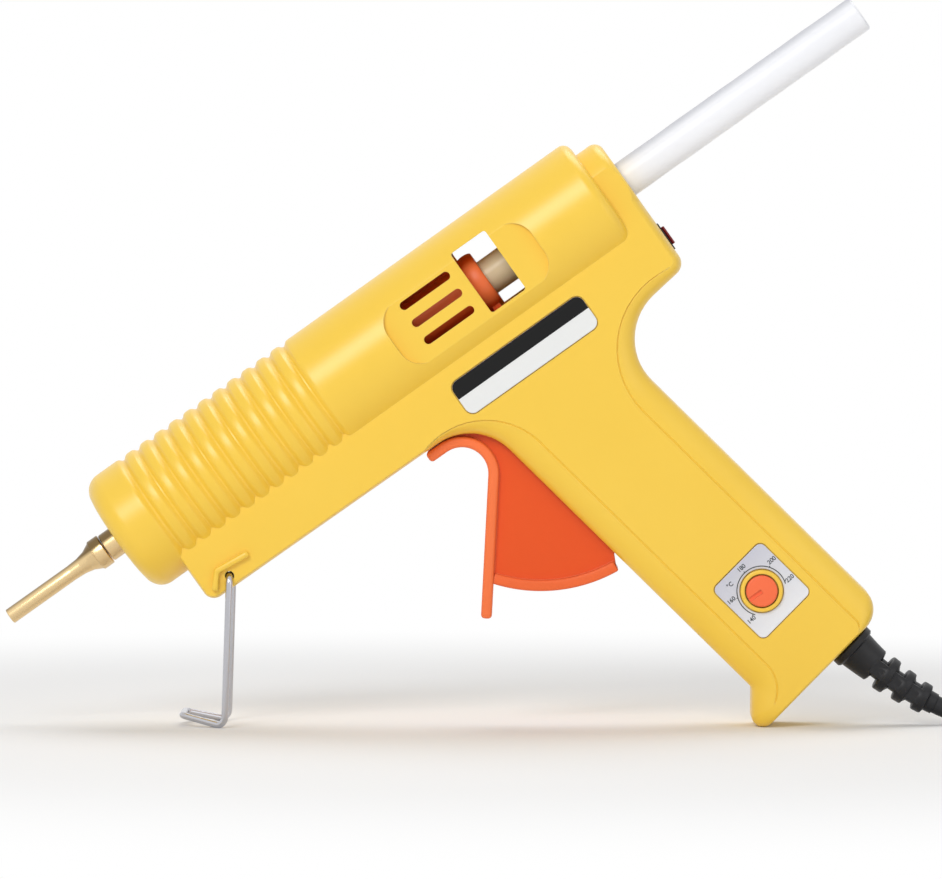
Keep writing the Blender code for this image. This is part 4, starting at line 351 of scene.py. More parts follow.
# %% Outlines and paths
def fillet(corner, before, after, opening, radius, steps):
    centre = corner + (before + after).normalized() * radius / math.sin(opening / 2)
    first = corner + before * radius / math.tan(opening / 2) - centre
    last = corner + after * radius / math.tan(opening / 2) - centre
    sweep = first.angle_signed(last)
    return [tuple(centre + Matrix.Rotation(-sweep * step / steps, 2) @ first) for step in range(steps + 1)]


def rounded(corners, steps=10):
    """An outline with its corners rounded; each corner is (s, h, radius)."""
    least, straight = 0.01 * MM, math.radians(0.5)
    points = []
    for index, (s, h, radius) in enumerate(corners):
        here = Vector((s, h))
        before = Vector(corners[index - 1][:2]) - here
        after = Vector(corners[(index + 1) % len(corners)][:2]) - here
        opening = before.angle(after)
        if radius < least or math.pi - opening < straight:
            points += [(s, h)] * (steps + 1 if radius >= least else 1)
        else:
            points += fillet(here, before.normalized(), after.normalized(), opening, radius, steps)
    return points


def round_box(start, end, low, high, radius, steps):
    """A rectangle's outline with rounded corners."""
    return rounded([(start, low, radius), (end, low, radius), (end, high, radius), (start, high, radius)],
                   steps)


def rounded_end(end, side, radius, steps):
    """The points that round a profile's corner, from its side to its end."""
    turns = [math.pi / 2 * step / steps for step in range(1, steps + 1)]
    return [(end - radius * (1 - math.sin(turn)), side - abs(radius) * (1 - math.cos(turn))) for turn in turns]


def strip(path, thickness):
    """The outline of a strip of even thickness along a path."""
    sides = ([], [])
    for index, point in enumerate(path):
        before = Vector(path[max(index - 1, 0)])
        after = Vector(path[min(index + 1, len(path) - 1)])
        across = (after - before).normalized().orthogonal() * thickness / 2
        sides[0].append(tuple(Vector(point) + across))
        sides[1].append(tuple(Vector(point) - across))
    return sides[0] + sides[1][::-1]


def bend_path(points, radius, steps=10):
    """A path in space with round bends at its inner points."""
    path = [Vector(points[0])]
    for before, here, after in zip(points, points[1:], points[2:]):
        corner = Vector(here)
        back_way, on_way = Vector(before) - corner, Vector(after) - corner
        reach = radius / math.tan(back_way.angle(on_way) / 2)
        first, last = corner + back_way.normalized() * reach, corner + on_way.normalized() * reach
        middle = (back_way.normalized() + on_way.normalized()).normalized()
        centre = corner + middle * radius / math.sin(back_way.angle(on_way) / 2)
        for step in range(steps + 1):
            arm = (first - centre).normalized().slerp((last - centre).normalized(), step / steps)
            path.append(centre + arm * radius)
    path.append(Vector(points[-1]))
    return path


# %% Joining, cutting and softening
def combine(target, tools, operation):
    """Joins tools to the target or cuts them out, with the solver that keeps closed meshes closed."""
    for tool in tools:
        step = target.modifiers.new("step", "BOOLEAN")
        step.object, step.operation, step.solver = tool, operation, "MANIFOLD"
        evaluated(target)
        discard(tool)
    return target


def join(target, *tools):
    return combine(target, tools, "UNION")


def cut(target, *tools):
    return combine(target, tools, "DIFFERENCE")


def softened(made, width, segments=3, angle=40.0):
    """Rounds the sharp edges of a piece with real geometry."""
    step = made.modifiers.new("edges", "BEVEL")
    step.width, step.segments = width, segments
    step.limit_method, step.angle_limit = "ANGLE", math.radians(angle)
    return evaluated(made)


print("shape helpers ready")

# %% [markdown]
# ## The cord
# The picture shows only the cord's start, so its length is that of a usual bench tool, and the rest is put away
# in a tied hank past the picture's edge. A cord is one smooth curve with a round bevel: it settles from the
# strain relief onto the bench, swings to the hank's side, goes round it five times, each loop lying on the one
# below, and ends on top, at the plug.

# %% Cord
CORD_R = 2.75 * MM
CORD_Z = 3.0 * MM
STUB = Vector((2.75, 0, 0)) * MM
SWING = 46.0 * MM
HANK_R, HANK_RUN, HANK_CLIMB, HANK_PITCH, HANK_TURNS = 16.6 * MM, 82.5 * MM, 45.0 * MM, 6.3 * MM, 5
PLUG_HIGH = 13.7 * MM
RELIEF_END = Vector((135.5199, 0.0, 6.2918)) * MM
RELIEF_WAY = Vector((0.89056, 0.0, -0.454865))


def settling(place, way, steps=24):
    """A bend in the middle plane from the relief's direction to level on the bench."""
    lean = math.atan2(-way.z, way.x)
    radius = (place.z - CORD_Z) / (1 - math.cos(lean))
    points = []
    for step in range(steps + 1):
        angle = lean * (1 - step / steps)
        moved = Vector((math.sin(lean) - math.sin(angle), 0, math.cos(lean) - math.cos(angle)))
        points.append(place + moved * radius)
    return points


def swing(place, aside, rise, along, steps=40):
    """A stretch that starts and ends level along x and moves so far aside and up between."""
    points = []
    for step in range(steps + 1):
        blend = (1 - math.cos(math.pi * step / steps)) / 2
        points.append(place + Vector((along * step / steps, aside * blend, rise * blend)))
    return points


def half_bend(centre, first_angle, steps=30):
    turns = [first_angle + math.pi * step / steps for step in range(steps)]
    return [centre + Vector((math.cos(turn), math.sin(turn), 0)) * HANK_R for turn in turns]


def hank_points(place, steps=28):
    """Long loops laid on each other; each climbs onto the one below at the end of its way back."""
    points = []
    for turn in range(HANK_TURNS):
        low = place + Vector((0, 0, HANK_PITCH * turn))
        points += [low + Vector((HANK_RUN * step / steps, 0, 0)) for step in range(steps)]
        points += half_bend(low + Vector((HANK_RUN, HANK_R, 0)), -math.pi / 2)
        for step in range(steps):
            left = HANK_RUN * (1 - step / steps)
            climb = min(max(1 - left / HANK_CLIMB, 0), 1)
            points.append(low + Vector((left, HANK_R * 2, HANK_PITCH * climb * climb * (3 - 2 * climb))))
        points += half_bend(low + Vector((0, HANK_R, HANK_PITCH)), math.pi / 2)
    points.append(place + Vector((0, 0, HANK_PITCH * HANK_TURNS)))
    return points


# %% The cord's line, from the relief to the plug
cord_start = RELIEF_END + RELIEF_WAY * GAP
step_on = Vector((GAP, 0, 0))
lead = settling(cord_start, RELIEF_WAY)
lead += swing(lead[-1], -HANK_R, 0, SWING)[1:]
hank = hank_points(lead[-1] + STUB + step_on)
tail_start = hank[-1] + STUB * 2 + step_on + STUB
tail = swing(tail_start, HANK_R, CORD_R + GAP + PLUG_HIGH / 2 - HANK_PITCH, SWING)
plug_entry = tail[-1] + STUB + step_on
route = lead + hank + tail + [tail[-1] + STUB]
cord = show(new_object("cord", round_line("cord", route, CORD_R, 5)), RUBBER, "housing", "cord_rubber",
            "cord_lead", "cord_coil", "cord_tail", on_gun=False)

# %% The hank's tie: a flat ribbon round both stacks
TIE_WIDE, TIE_THICK, TIE_ALONG = 5.0 * MM, 0.2 * MM, 50.0 * MM
tie_low, tie_high = 0.03 * MM, CORD_Z + HANK_PITCH * (HANK_TURNS - 1) + CORD_R + TIE_THICK
tie_side, tie_middle = HANK_R + CORD_R + TIE_THICK, hank[0].y + HANK_R
tie_x = hank[0].x + TIE_ALONG


def tie_line(inward, x):
    side, low, high = tie_side - inward, tie_low + inward, tie_high - inward
    radius = CORD_R + TIE_THICK - inward
    corners = [(side, low, radius), (side, high, radius), (-side, high, radius), (-side, low, radius)]
    return [(tie_x + x - TIE_WIDE / 2, tie_middle + y, z) for y, z in rounded(corners, 10)]


tie_rings = [tie_line(0, 0), tie_line(0, TIE_WIDE), tie_line(TIE_THICK, TIE_WIDE), tie_line(TIE_THICK, 0)]
tie = show(loft("cord_tie", tie_rings, closed=True), BLACK, "housing", "black_plastic", sharp=40.0,
           on_gun=False)

# %% [markdown]
# ## The ribbed barrel, with Geometry Nodes
# The barrel is a turned form whose radius follows a rule: a rounded nose, a row of even grooves, a rounded end.
# A rule suits Geometry Nodes. The tree takes a plain cylinder and moves each point out to the radius that the
# rule gives for its place along the barrel, so a groove is moved or deepened by changing one named input.

# %% Trees and their inputs
def new_tree(name, sizes):
    """A geometry tree with one named length input for each size, and a material input."""
    tree = bpy.data.node_groups.new(name, "GeometryNodeTree")
    tree.interface.new_socket("Geometry", in_out="INPUT", socket_type="NodeSocketGeometry")
    for key, value in sizes.items():
        made = tree.interface.new_socket(key, in_out="INPUT", socket_type="NodeSocketFloat")
        made.default_value = value
    tree.interface.new_socket("Material", in_out="INPUT", socket_type="NodeSocketMaterial")
    tree.interface.new_socket("Geometry", in_out="OUTPUT", socket_type="NodeSocketGeometry")
    return tree, tree.nodes.new("NodeGroupInput").outputs


def close_tree(tree, given, result):
    """Realizes what the tree made and sets its material."""
    real = add_node(tree, "GeometryNodeRealizeInstances", 0, result)
    painted = add_node(tree, "GeometryNodeSetMaterial", Geometry=real, Material=given["Material"])
    tree.links.new(painted, tree.nodes.new("NodeGroupOutput").inputs[0])


def run_tree(name, tree, sizes, surface, mesh=None):
    """Runs a tree on a mesh, or an empty one, and gives its result as a plain object."""
    made = new_object(name, mesh or bpy.data.meshes.new(name))
    step = made.modifiers.new("form", "NODES")
    step.node_group = tree
    for item in tree.interface.items_tree:
        if item.in_out == "INPUT" and item.name != "Geometry":
            step[item.identifier] = surface if item.name == "Material" else sizes[item.name]
    return evaluated(made)


print("tree helpers ready")

# %% The barrel's tree
BARREL_R, BARREL_LENGTH, WALL = 19.2 * MM, 176.0 * MM, 2.4 * MM
BARREL_SIZES = {
    "Radius": BARREL_R, "Length": BARREL_LENGTH, "Nose radius": 13.4 * MM, "Nose length": 5.6 * MM,
    "Front": 1.2 * MM, "End round": 3.0 * MM, "Groove start": 15.8 * MM, "Groove pitch": 5.24 * MM,
    "Groove depth": 1.15 * MM,
}
GROOVES, GROOVE_SHARPNESS = 12, 5.0
ROUND_STEPS, LENGTH_STEPS = 112, 420
barrel_tree, size = new_tree("ribbed barrel", BARREL_SIZES)


def work(operation, *numbers):
    """The result of a Math node in the barrel's tree."""
    return add_node(barrel_tree, "ShaderNodeMath", 0, *numbers, operation=operation)


def circle_height(share):
    """The height of a circle of radius 1 at a share of its width."""
    return work("SQRT", work("SUBTRACT", 1.0, work("MULTIPLY", share, share)))


depth = work("SUBTRACT", size["Length"], size["Front"])
bar = add_node(barrel_tree, "GeometryNodeMeshCylinder", Vertices=ROUND_STEPS, Side_Segments=LENGTH_STEPS,
               Radius=1.0, Depth=depth)
position = add_node(barrel_tree, "GeometryNodeInputPosition")
where = add_node(barrel_tree, "ShaderNodeSeparateXYZ", 0, position).node.outputs
behind = work("ADD", where["Z"], work("MULTIPLY", depth, 0.5))
along = work("ADD", behind, size["Front"])
nose = work("MAXIMUM", work("SUBTRACT", 1.0, work("DIVIDE", behind, size["Nose length"])), 0.0)
nose_drop = work("SUBTRACT", size["Radius"], size["Nose radius"])
shoulder = work("MULTIPLY", nose_drop, circle_height(nose))
left = work("DIVIDE", work("SUBTRACT", size["Length"], along), size["End round"])
end_share = work("MAXIMUM", work("SUBTRACT", 1.0, left), 0.0)
end_drop = work("MULTIPLY", size["End round"], work("SUBTRACT", 1.0, circle_height(end_share)))
phase = work("DIVIDE", work("SUBTRACT", along, size["Groove start"]), size["Groove pitch"])
wave = work("ABSOLUTE", work("COSINE", work("MULTIPLY", phase, math.pi)))
in_row = work("MULTIPLY", work("GREATER_THAN", phase, -0.5), work("LESS_THAN", phase, GROOVES - 0.5))
deep = work("MULTIPLY", size["Groove depth"], in_row)
groove = work("MULTIPLY", work("POWER", wave, GROOVE_SHARPNESS), deep)
smooth = work("SUBTRACT", work("ADD", size["Nose radius"], shoulder), end_drop)
radius = work("SUBTRACT", smooth, groove)
across, up = [work("MULTIPLY", where[way], radius) for way in "XY"]
moved = add_node(barrel_tree, "ShaderNodeCombineXYZ", 0, along, across, up)
close_tree(barrel_tree, size, add_node(barrel_tree, "GeometryNodeSetPosition", Geometry=bar, Position=moved))
barrel = run_tree("barrel", barrel_tree, BARREL_SIZES, YELLOW)
print("barrel faces:", len(barrel.data.polygons))

# %% [markdown]
# ## Keel, grip and tail
# Under the barrel the two halves are flat-sided with edges rounded over towards the outline. On the grip that
# rounding starts 8 mm in and leaves a fine crease. The side outline is drawn once, with a radius at each corner,
# and lofted through levels: each is narrower and lies nearer the outline, on a quarter of an ellipse. The middle,
# as wide as the trigger's slot, is level, so that the slot leaves the outline whole.

# %% The body's outline
BODY_HALF = 12.8 * MM
REAR_S, KEEL_S, KEEL_H = 183.66 * MM, 13.0 * MM, -30.7 * MM
CROTCH = Vector((107.95, -31.25)) * MM
GRIP_LENGTH, GRIP_DEPTH, SLANT = 124.8 * MM, 43.6 * MM, math.radians(79.9)
Corner = namedtuple("Corner", "s h radius before after")


def grip_point(down, behind):
    """A place on the grip, so far down from the crotch and so far back from the front line."""
    s = CROTCH.x + down * math.cos(SLANT) + behind * math.sin(SLANT)
    return s, CROTCH.y - down * math.sin(SLANT) + behind * math.cos(SLANT)


def body_corners(top):
    """The outline's corners, with the depth of the rounding on the side before and after each."""
    slope = (CROTCH.y - KEEL_H) / (CROTCH.x - KEEL_S)
    crease_s = 90.0 * MM
    edge, crotch, crease, toe, tail_in = 0.8 * MM, 4.6 * MM, 8.0 * MM, 3.0 * MM, 2.2 * MM
    return [
        Corner(KEEL_S, KEEL_H, 3.5 * MM, edge, edge),
        Corner(crease_s, KEEL_H + slope * (crease_s - KEEL_S), 6.0 * MM, edge, edge),
        Corner(CROTCH.x, CROTCH.y, 16.5 * MM, crotch, crease),
        Corner(*grip_point(113.25 * MM, 0), 2.5 * MM, crease, crease),
        Corner(*grip_point(GRIP_LENGTH, -11.9 * MM), 3.4 * MM, toe, edge),
        Corner(*grip_point(GRIP_LENGTH, GRIP_DEPTH), 7.5 * MM, edge, crease),
        Corner(*grip_point(11.3 * MM, GRIP_DEPTH), 17.6 * MM, crease, crease),
        Corner(REAR_S, -30.58 * MM, 4.0 * MM, tail_in, tail_in),
        Corner(REAR_S, top, 0, tail_in, 0),
        Corner(KEEL_S, top, 0, 0, edge),
    ]


def meeting(before, after):
    """Where two sides of the outline meet, or the middle of their gap if they run in one line."""
    one, two = before[1] - before[0], after[1] - after[0]
    cross = one.x * two.y - one.y * two.x
    if abs(cross) < one.length * two.length * math.sin(math.radians(0.5)):
        return (before[1] + after[0]) / 2
    apart = after[0] - before[0]
    return before[0] + one * (apart.x * two.y - apart.y * two.x) / cross


def is_hollow(corners, index):
    here, before, after = corners[index], corners[index - 1], corners[(index + 1) % len(corners)]
    return (here.s - before.s) * (after.h - here.h) - (here.h - before.h) * (after.s - here.s) < 0


def inset_corners(corners, share, margin):
    """The corners moved in, each side by its own inset times the share, plus the margin."""
    sides = []
    for one, two in zip(corners, corners[1:] + corners[:1]):
        first, last = Vector((one.s, one.h)), Vector((two.s, two.h))
        inward = (last - first).normalized().orthogonal()
        sides.append((first + inward * (one.after * share + margin),
                      last + inward * (two.before * share + margin)))
    moved = []
    for index, corner in enumerate(corners):
        point = meeting(sides[index - 1], sides[index])
        depth = (corner.before + corner.after) / 2 * share + margin
        radius = corner.radius + depth if is_hollow(corners, index) else corner.radius - depth
        moved.append((point.x, point.y, max(radius, corner.radius / 4)))
    return moved


print("outline corners:", len(body_corners(0)))

# %% The body's loft
CREASE_START = math.radians(13.0)
CREASE_LEVELS = [(1.0, 1.05, 0.0), (1.0, 1.0, 0.075), (0.985, 0.95, 0.0)]
CREASE_FROM, CREASE_FADE = 2.2 * MM, 3.0 * MM
FLAT_HALF = 7.3 * MM


def creased(corners, steps):
    """How much of the crease each point of the outline has: all of it where the rounding is deep."""
    shares = []
    for corner in corners:
        for step in range(steps + 1 if corner.radius else 1):
            depth = corner.before + (corner.after - corner.before) * step / steps
            shares.append(min(max((depth - CREASE_FROM) / CREASE_FADE, 0.0), 1.0))
    return shares


def body_loft(name, half_width, margin, top, steps, levels):
    """The body from side to side; each level has a width, an inset and a depth of the crease."""
    corners = body_corners(top)
    sections = list(CREASE_LEVELS)
    for level in range(1, levels):
        turn = CREASE_START + (math.pi / 2 - CREASE_START) * level / levels
        sections.append((math.cos(turn) / math.cos(CREASE_START),
                         (1 - math.sin(turn)) / (1 - math.sin(CREASE_START)), 0.0))
    shares = creased(corners, steps)
    rings = []
    for width, inset, groove in sections + [(0.0, 0.0, 0.0)]:
        outline = rounded(inset_corners(corners, inset, margin), steps)
        sides = [FLAT_HALF + (half_width - FLAT_HALF) * (width - groove * share) for share in shares]
        rings.append([[(s, side * y, h) for (s, h), y in zip(outline, sides)] for side in (-1, 1)])
    return loft(name, [ring[0] for ring in rings] + [ring[1] for ring in rings[::-1]])


COLLAR_R, COLLAR_ROUND = 14.2 * MM, 3.0 * MM
body = body_loft("body", BODY_HALF, 0, 0, steps=14, levels=12)
collar_profile = [(BARREL_LENGTH - OVER, 0), (BARREL_LENGTH - OVER, COLLAR_R), (REAR_S - COLLAR_ROUND, COLLAR_R)]
collar_profile += rounded_end(REAR_S, COLLAR_R, COLLAR_ROUND, 8) + [(REAR_S, 0)]
shell = join(barrel, turned("collar", collar_profile, ROUND_STEPS), body)
print("outer shell faces:", len(shell.data.polygons))

# %% [markdown]
# ## The hollow and the openings
# The halves are shells. The hollow follows the outside at 2.4 mm, with two ribs that guide the stick. Then come
# the openings: the recessed panel with three slots and the window you can see right through, the trigger's slot,
# the switch, the nose, the stick's port and the strain relief.

# %% Sizes of the hollow and the openings
STICK_R = 5.6 * MM
INNER_R, PORT_R, NOSE_HOLE_R = BARREL_R - WALL, STICK_R + RUN * 2, 6.0 * MM
GUIDE_RIBS = [(102.0 * MM, 106.0 * MM, 8.1 * MM), (150.0 * MM, 153.0 * MM, PORT_R)]
RECESS_Y, RECESS_HALF = 16.4 * MM, 10.2 * MM
RECESS_START, RECESS_END, RECESS_ROUND = 101.0 * MM, 152.4 * MM, 7.0 * MM
SLOT_START, SLOT_END, SLOT_MIDDLE, SLOT_PITCH, SLOT_HALF = 108.6 * MM, 126.0 * MM, 1.5, 6.1, 1.3
PIVOT_S, PIVOT_H, FAN_R = 120.41 * MM, -46.32 * MM, 46.2 * MM
TRIGGER_SLOT_FIRST, TRIGGER_SLOT_SWEEP, TRIGGER_SLOT_HALF = 215, 61, 7.1 * MM
DIAL_S, DIAL_H = grip_point(95.1 * MM, 22.4 * MM)
SWITCH_H, SWITCH_HALF_H, SWITCH_HALF_Y = -20.45 * MM, 4.45 * MM, 6.6 * MM
SCREWS = [(38.0 * MM, -23.4 * MM), (84.0 * MM, -23.4 * MM), (162.5 * MM, -23.4 * MM),
          grip_point(58.0 * MM, 30.0 * MM), grip_point(112.5 * MM, 12.0 * MM),
          grip_point(108.4 * MM, 31.5 * MM)]
FAR = BARREL_R + OVER


def recess_outline(margin):
    return round_box(RECESS_START - margin, RECESS_END + margin, -RECESS_HALF - margin, RECESS_HALF + margin,
                     RECESS_ROUND, 14)


# %% Cutting the hollow
hollow_line = [(WALL, 0), (WALL, 12.0 * MM - WALL), (6.3 * MM + WALL, INNER_R)]
for start, end, hole_r in GUIDE_RIBS:
    hollow_line += [(start, INNER_R), (start, hole_r), (end, hole_r), (end, INNER_R)]
hollow_line += [(BARREL_LENGTH - WALL, INNER_R), (BARREL_LENGTH - WALL, 0)]
cavity = turned("cavity", hollow_line)
for side in (-1, 1):
    cut(cavity, prism("recess wall", recess_outline(WALL), side * (RECESS_Y - WALL), side * FAR))
join(cavity, body_loft("body cavity", BODY_HALF - WALL, WALL, -6.6 * MM, 6, 6))
join(cavity, block("keyway", (88.0 * MM, -6.2 * MM, -17.4 * MM), (140.0 * MM, 6.2 * MM, 0)))
cut(shell, cavity)
print("hollow shell faces:", len(shell.data.polygons))

# %% Cutting the openings
slot_reach = FAN_R + GAP * 2
trigger_slot = [(96.0 * MM, -26.0 * MM), (96.0 * MM, PIVOT_H)]
for step in range(25):
    turn = math.radians(TRIGGER_SLOT_FIRST + TRIGGER_SLOT_SWEEP * step / 24)
    trigger_slot.append((PIVOT_S + slot_reach * math.cos(turn), PIVOT_H + slot_reach * math.sin(turn)))
trigger_slot.append((PIVOT_S, -26.0 * MM))
cut(shell, prism("trigger slot", trigger_slot, -TRIGGER_SLOT_HALF, TRIGGER_SLOT_HALF))
for name, start, end, hole_r in (("nose hole", -OVER, OVER, NOSE_HOLE_R),
                                 ("port", 160.0 * MM, REAR_S + OVER, PORT_R)):
    cut(shell, turned(name, [(start, 0), (start, hole_r), (end, hole_r), (end, 0)]))
window = round_box(129.5 * MM, 141.7 * MM, -9.0 * MM, 12.0 * MM, 0.8 * MM, 4)
cut(shell, prism("window", window, -FAR, FAR))
cut(shell, block("switch hole", (REAR_S - 12.0 * MM, -SWITCH_HALF_Y - GAP, SWITCH_H - SWITCH_HALF_H - GAP),
                 (REAR_S + OVER, SWITCH_HALF_Y + GAP, SWITCH_H + SWITCH_HALF_H + GAP)))
for index in (-1, 0, 1):
    low = (SLOT_MIDDLE + SLOT_PITCH * index - SLOT_HALF) * MM
    high = (SLOT_MIDDLE + SLOT_PITCH * index + SLOT_HALF) * MM
    cut(shell, prism("slot", round_box(SLOT_START, SLOT_END, low, high, 1.29 * MM, 8), -FAR, FAR))
for side in (-1, 1):
    cut(shell, prism("recess", recess_outline(0), side * RECESS_Y, side * FAR))
    low, high = sorted((side * BODY_HALF, side * FAR))
    cut(shell, block("collar flat", (BARREL_LENGTH, low, -FAR), (REAR_S + OVER, high, FAR)))
print("shell faces:", len(shell.data.polygons))

# %% [markdown]
# ## Two halves
# The real housing is moulded in two halves that meet in the gun's middle plane. The shell is cut there with a
# fine gap, and each half gets its screw posts, the boss of the trigger's pin, the stand's boss and the raised
# clip that stops the wire. The left half has shallow recesses for the plates and the dial's round collar.

# %% Posts, bosses, clip and bores
PARTING = 0.15 * MM
POST_R, PIN_R, PIN_END, SHANK_R = 4.2 * MM, 2.0 * MM, 9.3 * MM, 1.45 * MM
SEAT_Y, COUNTERBORE_R, SHANK_END = 6.0 * MM, 3.3 * MM, 5.5 * MM
STAND_S, STAND_H, WIRE_R = 22.31 * MM, -27.26 * MM, 1.0 * MM
DIAL_COLLAR_R, DIAL_WALL, DIAL_PROUD, DIAL_ROUND = 6.2 * MM, 1.2 * MM, 1.6 * MM, 0.5 * MM
PLATE_RECESS, PLATE_THICK = 0.6 * MM, 0.45 * MM
NAME_S, NAME_H = 130.08 * MM, -24.58 * MM
CLIP = [(16.3, -28.4), (20.1, -23.9), (30.7, -25.0)]
WALL_Y = BODY_HALF - WALL / 2


def name_outline(margin):
    wide, high = 23.25 * MM + margin, 5.5 * MM + margin
    return round_box(NAME_S - wide, NAME_S + wide, NAME_H - high, NAME_H + high, 2.5 * MM + margin, 8)


def dial_outline(margin):
    long, wide, radius = 10.5 * MM + margin, 10.0 * MM + margin, 1.9 * MM + margin
    places = [(95.1 * MM + a * long, 22.4 * MM + b * wide) for a, b in [(1, -1), (1, 1), (-1, 1), (-1, -1)]]
    return rounded([(*grip_point(*place), radius) for place in places], 8)


def stations(name, line, segments=48):
    """A solid through round sections; each is a place (s, h), its lean and its radius."""
    rings = []
    for (s, h), lean, radius in line:
        ring = []
        for index in range(segments):
            turn = math.tau * index / segments
            rise = radius * math.cos(turn)
            ring.append((s - math.sin(lean) * rise, radius * math.sin(turn), h + math.cos(lean) * rise))
        rings.append(ring)
    return loft(name, rings)


def on_dial(name, line, segments=72):
    """A solid through round sections about the dial's middle; each is a y and a radius."""
    turns = [math.tau * index / segments for index in range(segments)]
    return loft(name, [[(DIAL_S + r * math.cos(turn), y, DIAL_H + r * math.sin(turn)) for turn in turns]
                       for y, r in line])


def half_of(shell, name, side):
    """One half of the shell, with its posts, bosses and clip, and its bores."""
    half = new_object(name, shell.data.copy())
    near, far = sorted((side * PARTING, side * FAR))
    combine(half, [block("half space", (-0.05, near, -0.4), (0.4, far, 0.05))], "INTERSECT")
    wall, out = side * WALL_Y, side * (BODY_HALF + OVER)
    bosses = [rod("post", s, h, side * PARTING, wall, POST_R) for s, h in SCREWS]
    bosses.append(rod("pivot boss", PIVOT_S, PIVOT_H, side * 7.3 * MM, wall, 4.4 * MM))
    bosses.append(rod("stand boss", STAND_S, STAND_H, side * 8.2 * MM, wall, 3.3 * MM))
    clip = strip([(s * MM, h * MM) for s, h in CLIP], 2.0 * MM)
    clip = prism("clip", clip, side * (BODY_HALF - 0.4 * MM), side * (BODY_HALF + 2.0 * MM))
    join(half, *bosses, softened(clip, 0.8 * MM))
    bores = [rod("pin bore", PIVOT_S, PIVOT_H, 0, side * (PIN_END + GAP), PIN_R + GAP),
             rod("stand bore", STAND_S, STAND_H, 0, out, WIRE_R + RUN)]
    for s, h in SCREWS:
        deep = out if side > 0 else -SHANK_END - GAP
        bores.append(rod("screw bore", s, h, 0, deep, SHANK_R + GAP, 24))
        if side > 0:
            bores.append(rod("counterbore", s, h, SEAT_Y, out, COUNTERBORE_R))
    return cut(half, *bores)


# %% Cutting the shell in two, and the left half's recesses
RELIEF_BEHIND = 29.2 * MM
hole = [(grip_point(GRIP_LENGTH + way * OVER, RELIEF_BEHIND), -SLANT, 4.7 * MM) for way in (-1, 1)]
cut(shell, stations("relief hole", hole))
left, right = half_of(shell, "housing_left", -1), half_of(shell, "housing_right", 1)
face, floor_y = -BODY_HALF, -BODY_HALF + PLATE_RECESS
cut(left, prism("name recess", name_outline(GAP), floor_y, face - OVER),
    prism("dial recess", dial_outline(GAP), floor_y, face - OVER))
lip = [(floor_y + 0.4 * MM, DIAL_COLLAR_R), (face - DIAL_PROUD + DIAL_ROUND, DIAL_COLLAR_R)]
lip += rounded_end(face - DIAL_PROUD, DIAL_COLLAR_R, -DIAL_ROUND, 5)
join(left, on_dial("dial collar", lip))
cut(left, rod("cup", DIAL_S, DIAL_H, floor_y, face - OVER, DIAL_COLLAR_R - DIAL_WALL, 72),
    rod("dial bore", DIAL_S, DIAL_H, 0, face - OVER, 3.5 * MM))
discard(shell)
show(left, YELLOW, "housing", "yellow_plastic", "left_housing", sharp=14.0)
show(right, YELLOW, "housing", "yellow_plastic", "right_housing", sharp=14.0)
print("housing faces:", len(left.data.polygons), len(right.data.polygons))

# %% A thin orange liner on the right wall, which shows through the slots
liner_line = round_box(106.4 * MM, 128.4 * MM, -6.6 * MM, 11.4 * MM, 1.5 * MM, 6)
liner = prism("slot_liner", liner_line, 12.9 * MM, 14.02 * MM)
show(softened(liner, 0.2 * MM, 2), DIAL_ORANGE, "housing", "orange_plastic", sharp=30.0)

# %% [markdown]
# ## Screws, with Geometry Nodes
# Six equal screws hold the halves together. One screw is modelled, a tree puts a copy on each post, and the
# copies are realized. This is the best way for any fastener that repeats, because one edit changes them all.

# %% One screw and its copies
HEAD_R, HEAD_HIGH = 2.8 * MM, 2.0 * MM


def one_screw():
    seat = SEAT_Y + GAP
    line = [(-SHANK_END, 0), (-SHANK_END, SHANK_R - 0.5 * MM), (-SHANK_END + 1.2 * MM, SHANK_R)]
    line += [(seat, SHANK_R), (seat, HEAD_R)]
    for step in range(6):
        turn = math.pi / 2 * step / 6
        line.append((seat + HEAD_HIGH * (0.45 + 0.55 * math.sin(turn)), HEAD_R * math.cos(turn) ** 0.6))
    screw = turned("screw", line + [(seat + HEAD_HIGH, 0)], 32)
    deep = seat + HEAD_HIGH - 0.9 * MM
    for long, wide in ((1.8, 0.4), (0.4, 1.8)):
        cut(screw, block("cross", (deep, -long * MM, -wide * MM), (seat + OVER, long * MM, wide * MM)))
    screw.data.transform(Matrix.Rotation(math.pi / 2, 4, "Z"))
    return screw


screw = one_screw()
screw_sizes = {"Scale": 1.0}
screw_tree, given = new_tree("screws on their posts", screw_sizes)
source = add_node(screw_tree, "GeometryNodeObjectInfo", "Geometry", Object=screw)
placed = add_node(screw_tree, "GeometryNodeInstanceOnPoints", Points=given["Geometry"], Instance=source,
                  Scale=given["Scale"])
close_tree(screw_tree, given, placed)
posts = bpy.data.meshes.new("posts")
posts.from_pydata([(s, 0, h) for s, h in SCREWS], [], [])
screws = run_tree("housing_screws", screw_tree, screw_sizes, SCREW_STEEL, posts)
discard(screw)
show(screws, SCREW_STEEL, "housing", "screw_steel", *[f"housing_screw_{number}" for number in range(1, 7)])

# %% [markdown]
# ## Nozzle
# The nozzle is turned from brass: a long thin tube, a flare and a collar that a spanner grips. A profile of few
# points, turned about the barrel's axis, says all of it. Behind it shows the neck that screws into the heater.
# Its upper side fades to a darker tone: a painted dark reflection along the top.

# %% Nozzle and its neck
NOZZLE = [(-38.3, 2.35), (-16.0, 2.35), (-12.6, 2.55), (-9.9, 3.15), (-8.2, 4.0), (-7.3, 4.45), (-7.3, 4.8),
          (-3.7, 4.8)]
NECK = [(-3.4, 4.4), (12.0, 4.4)]


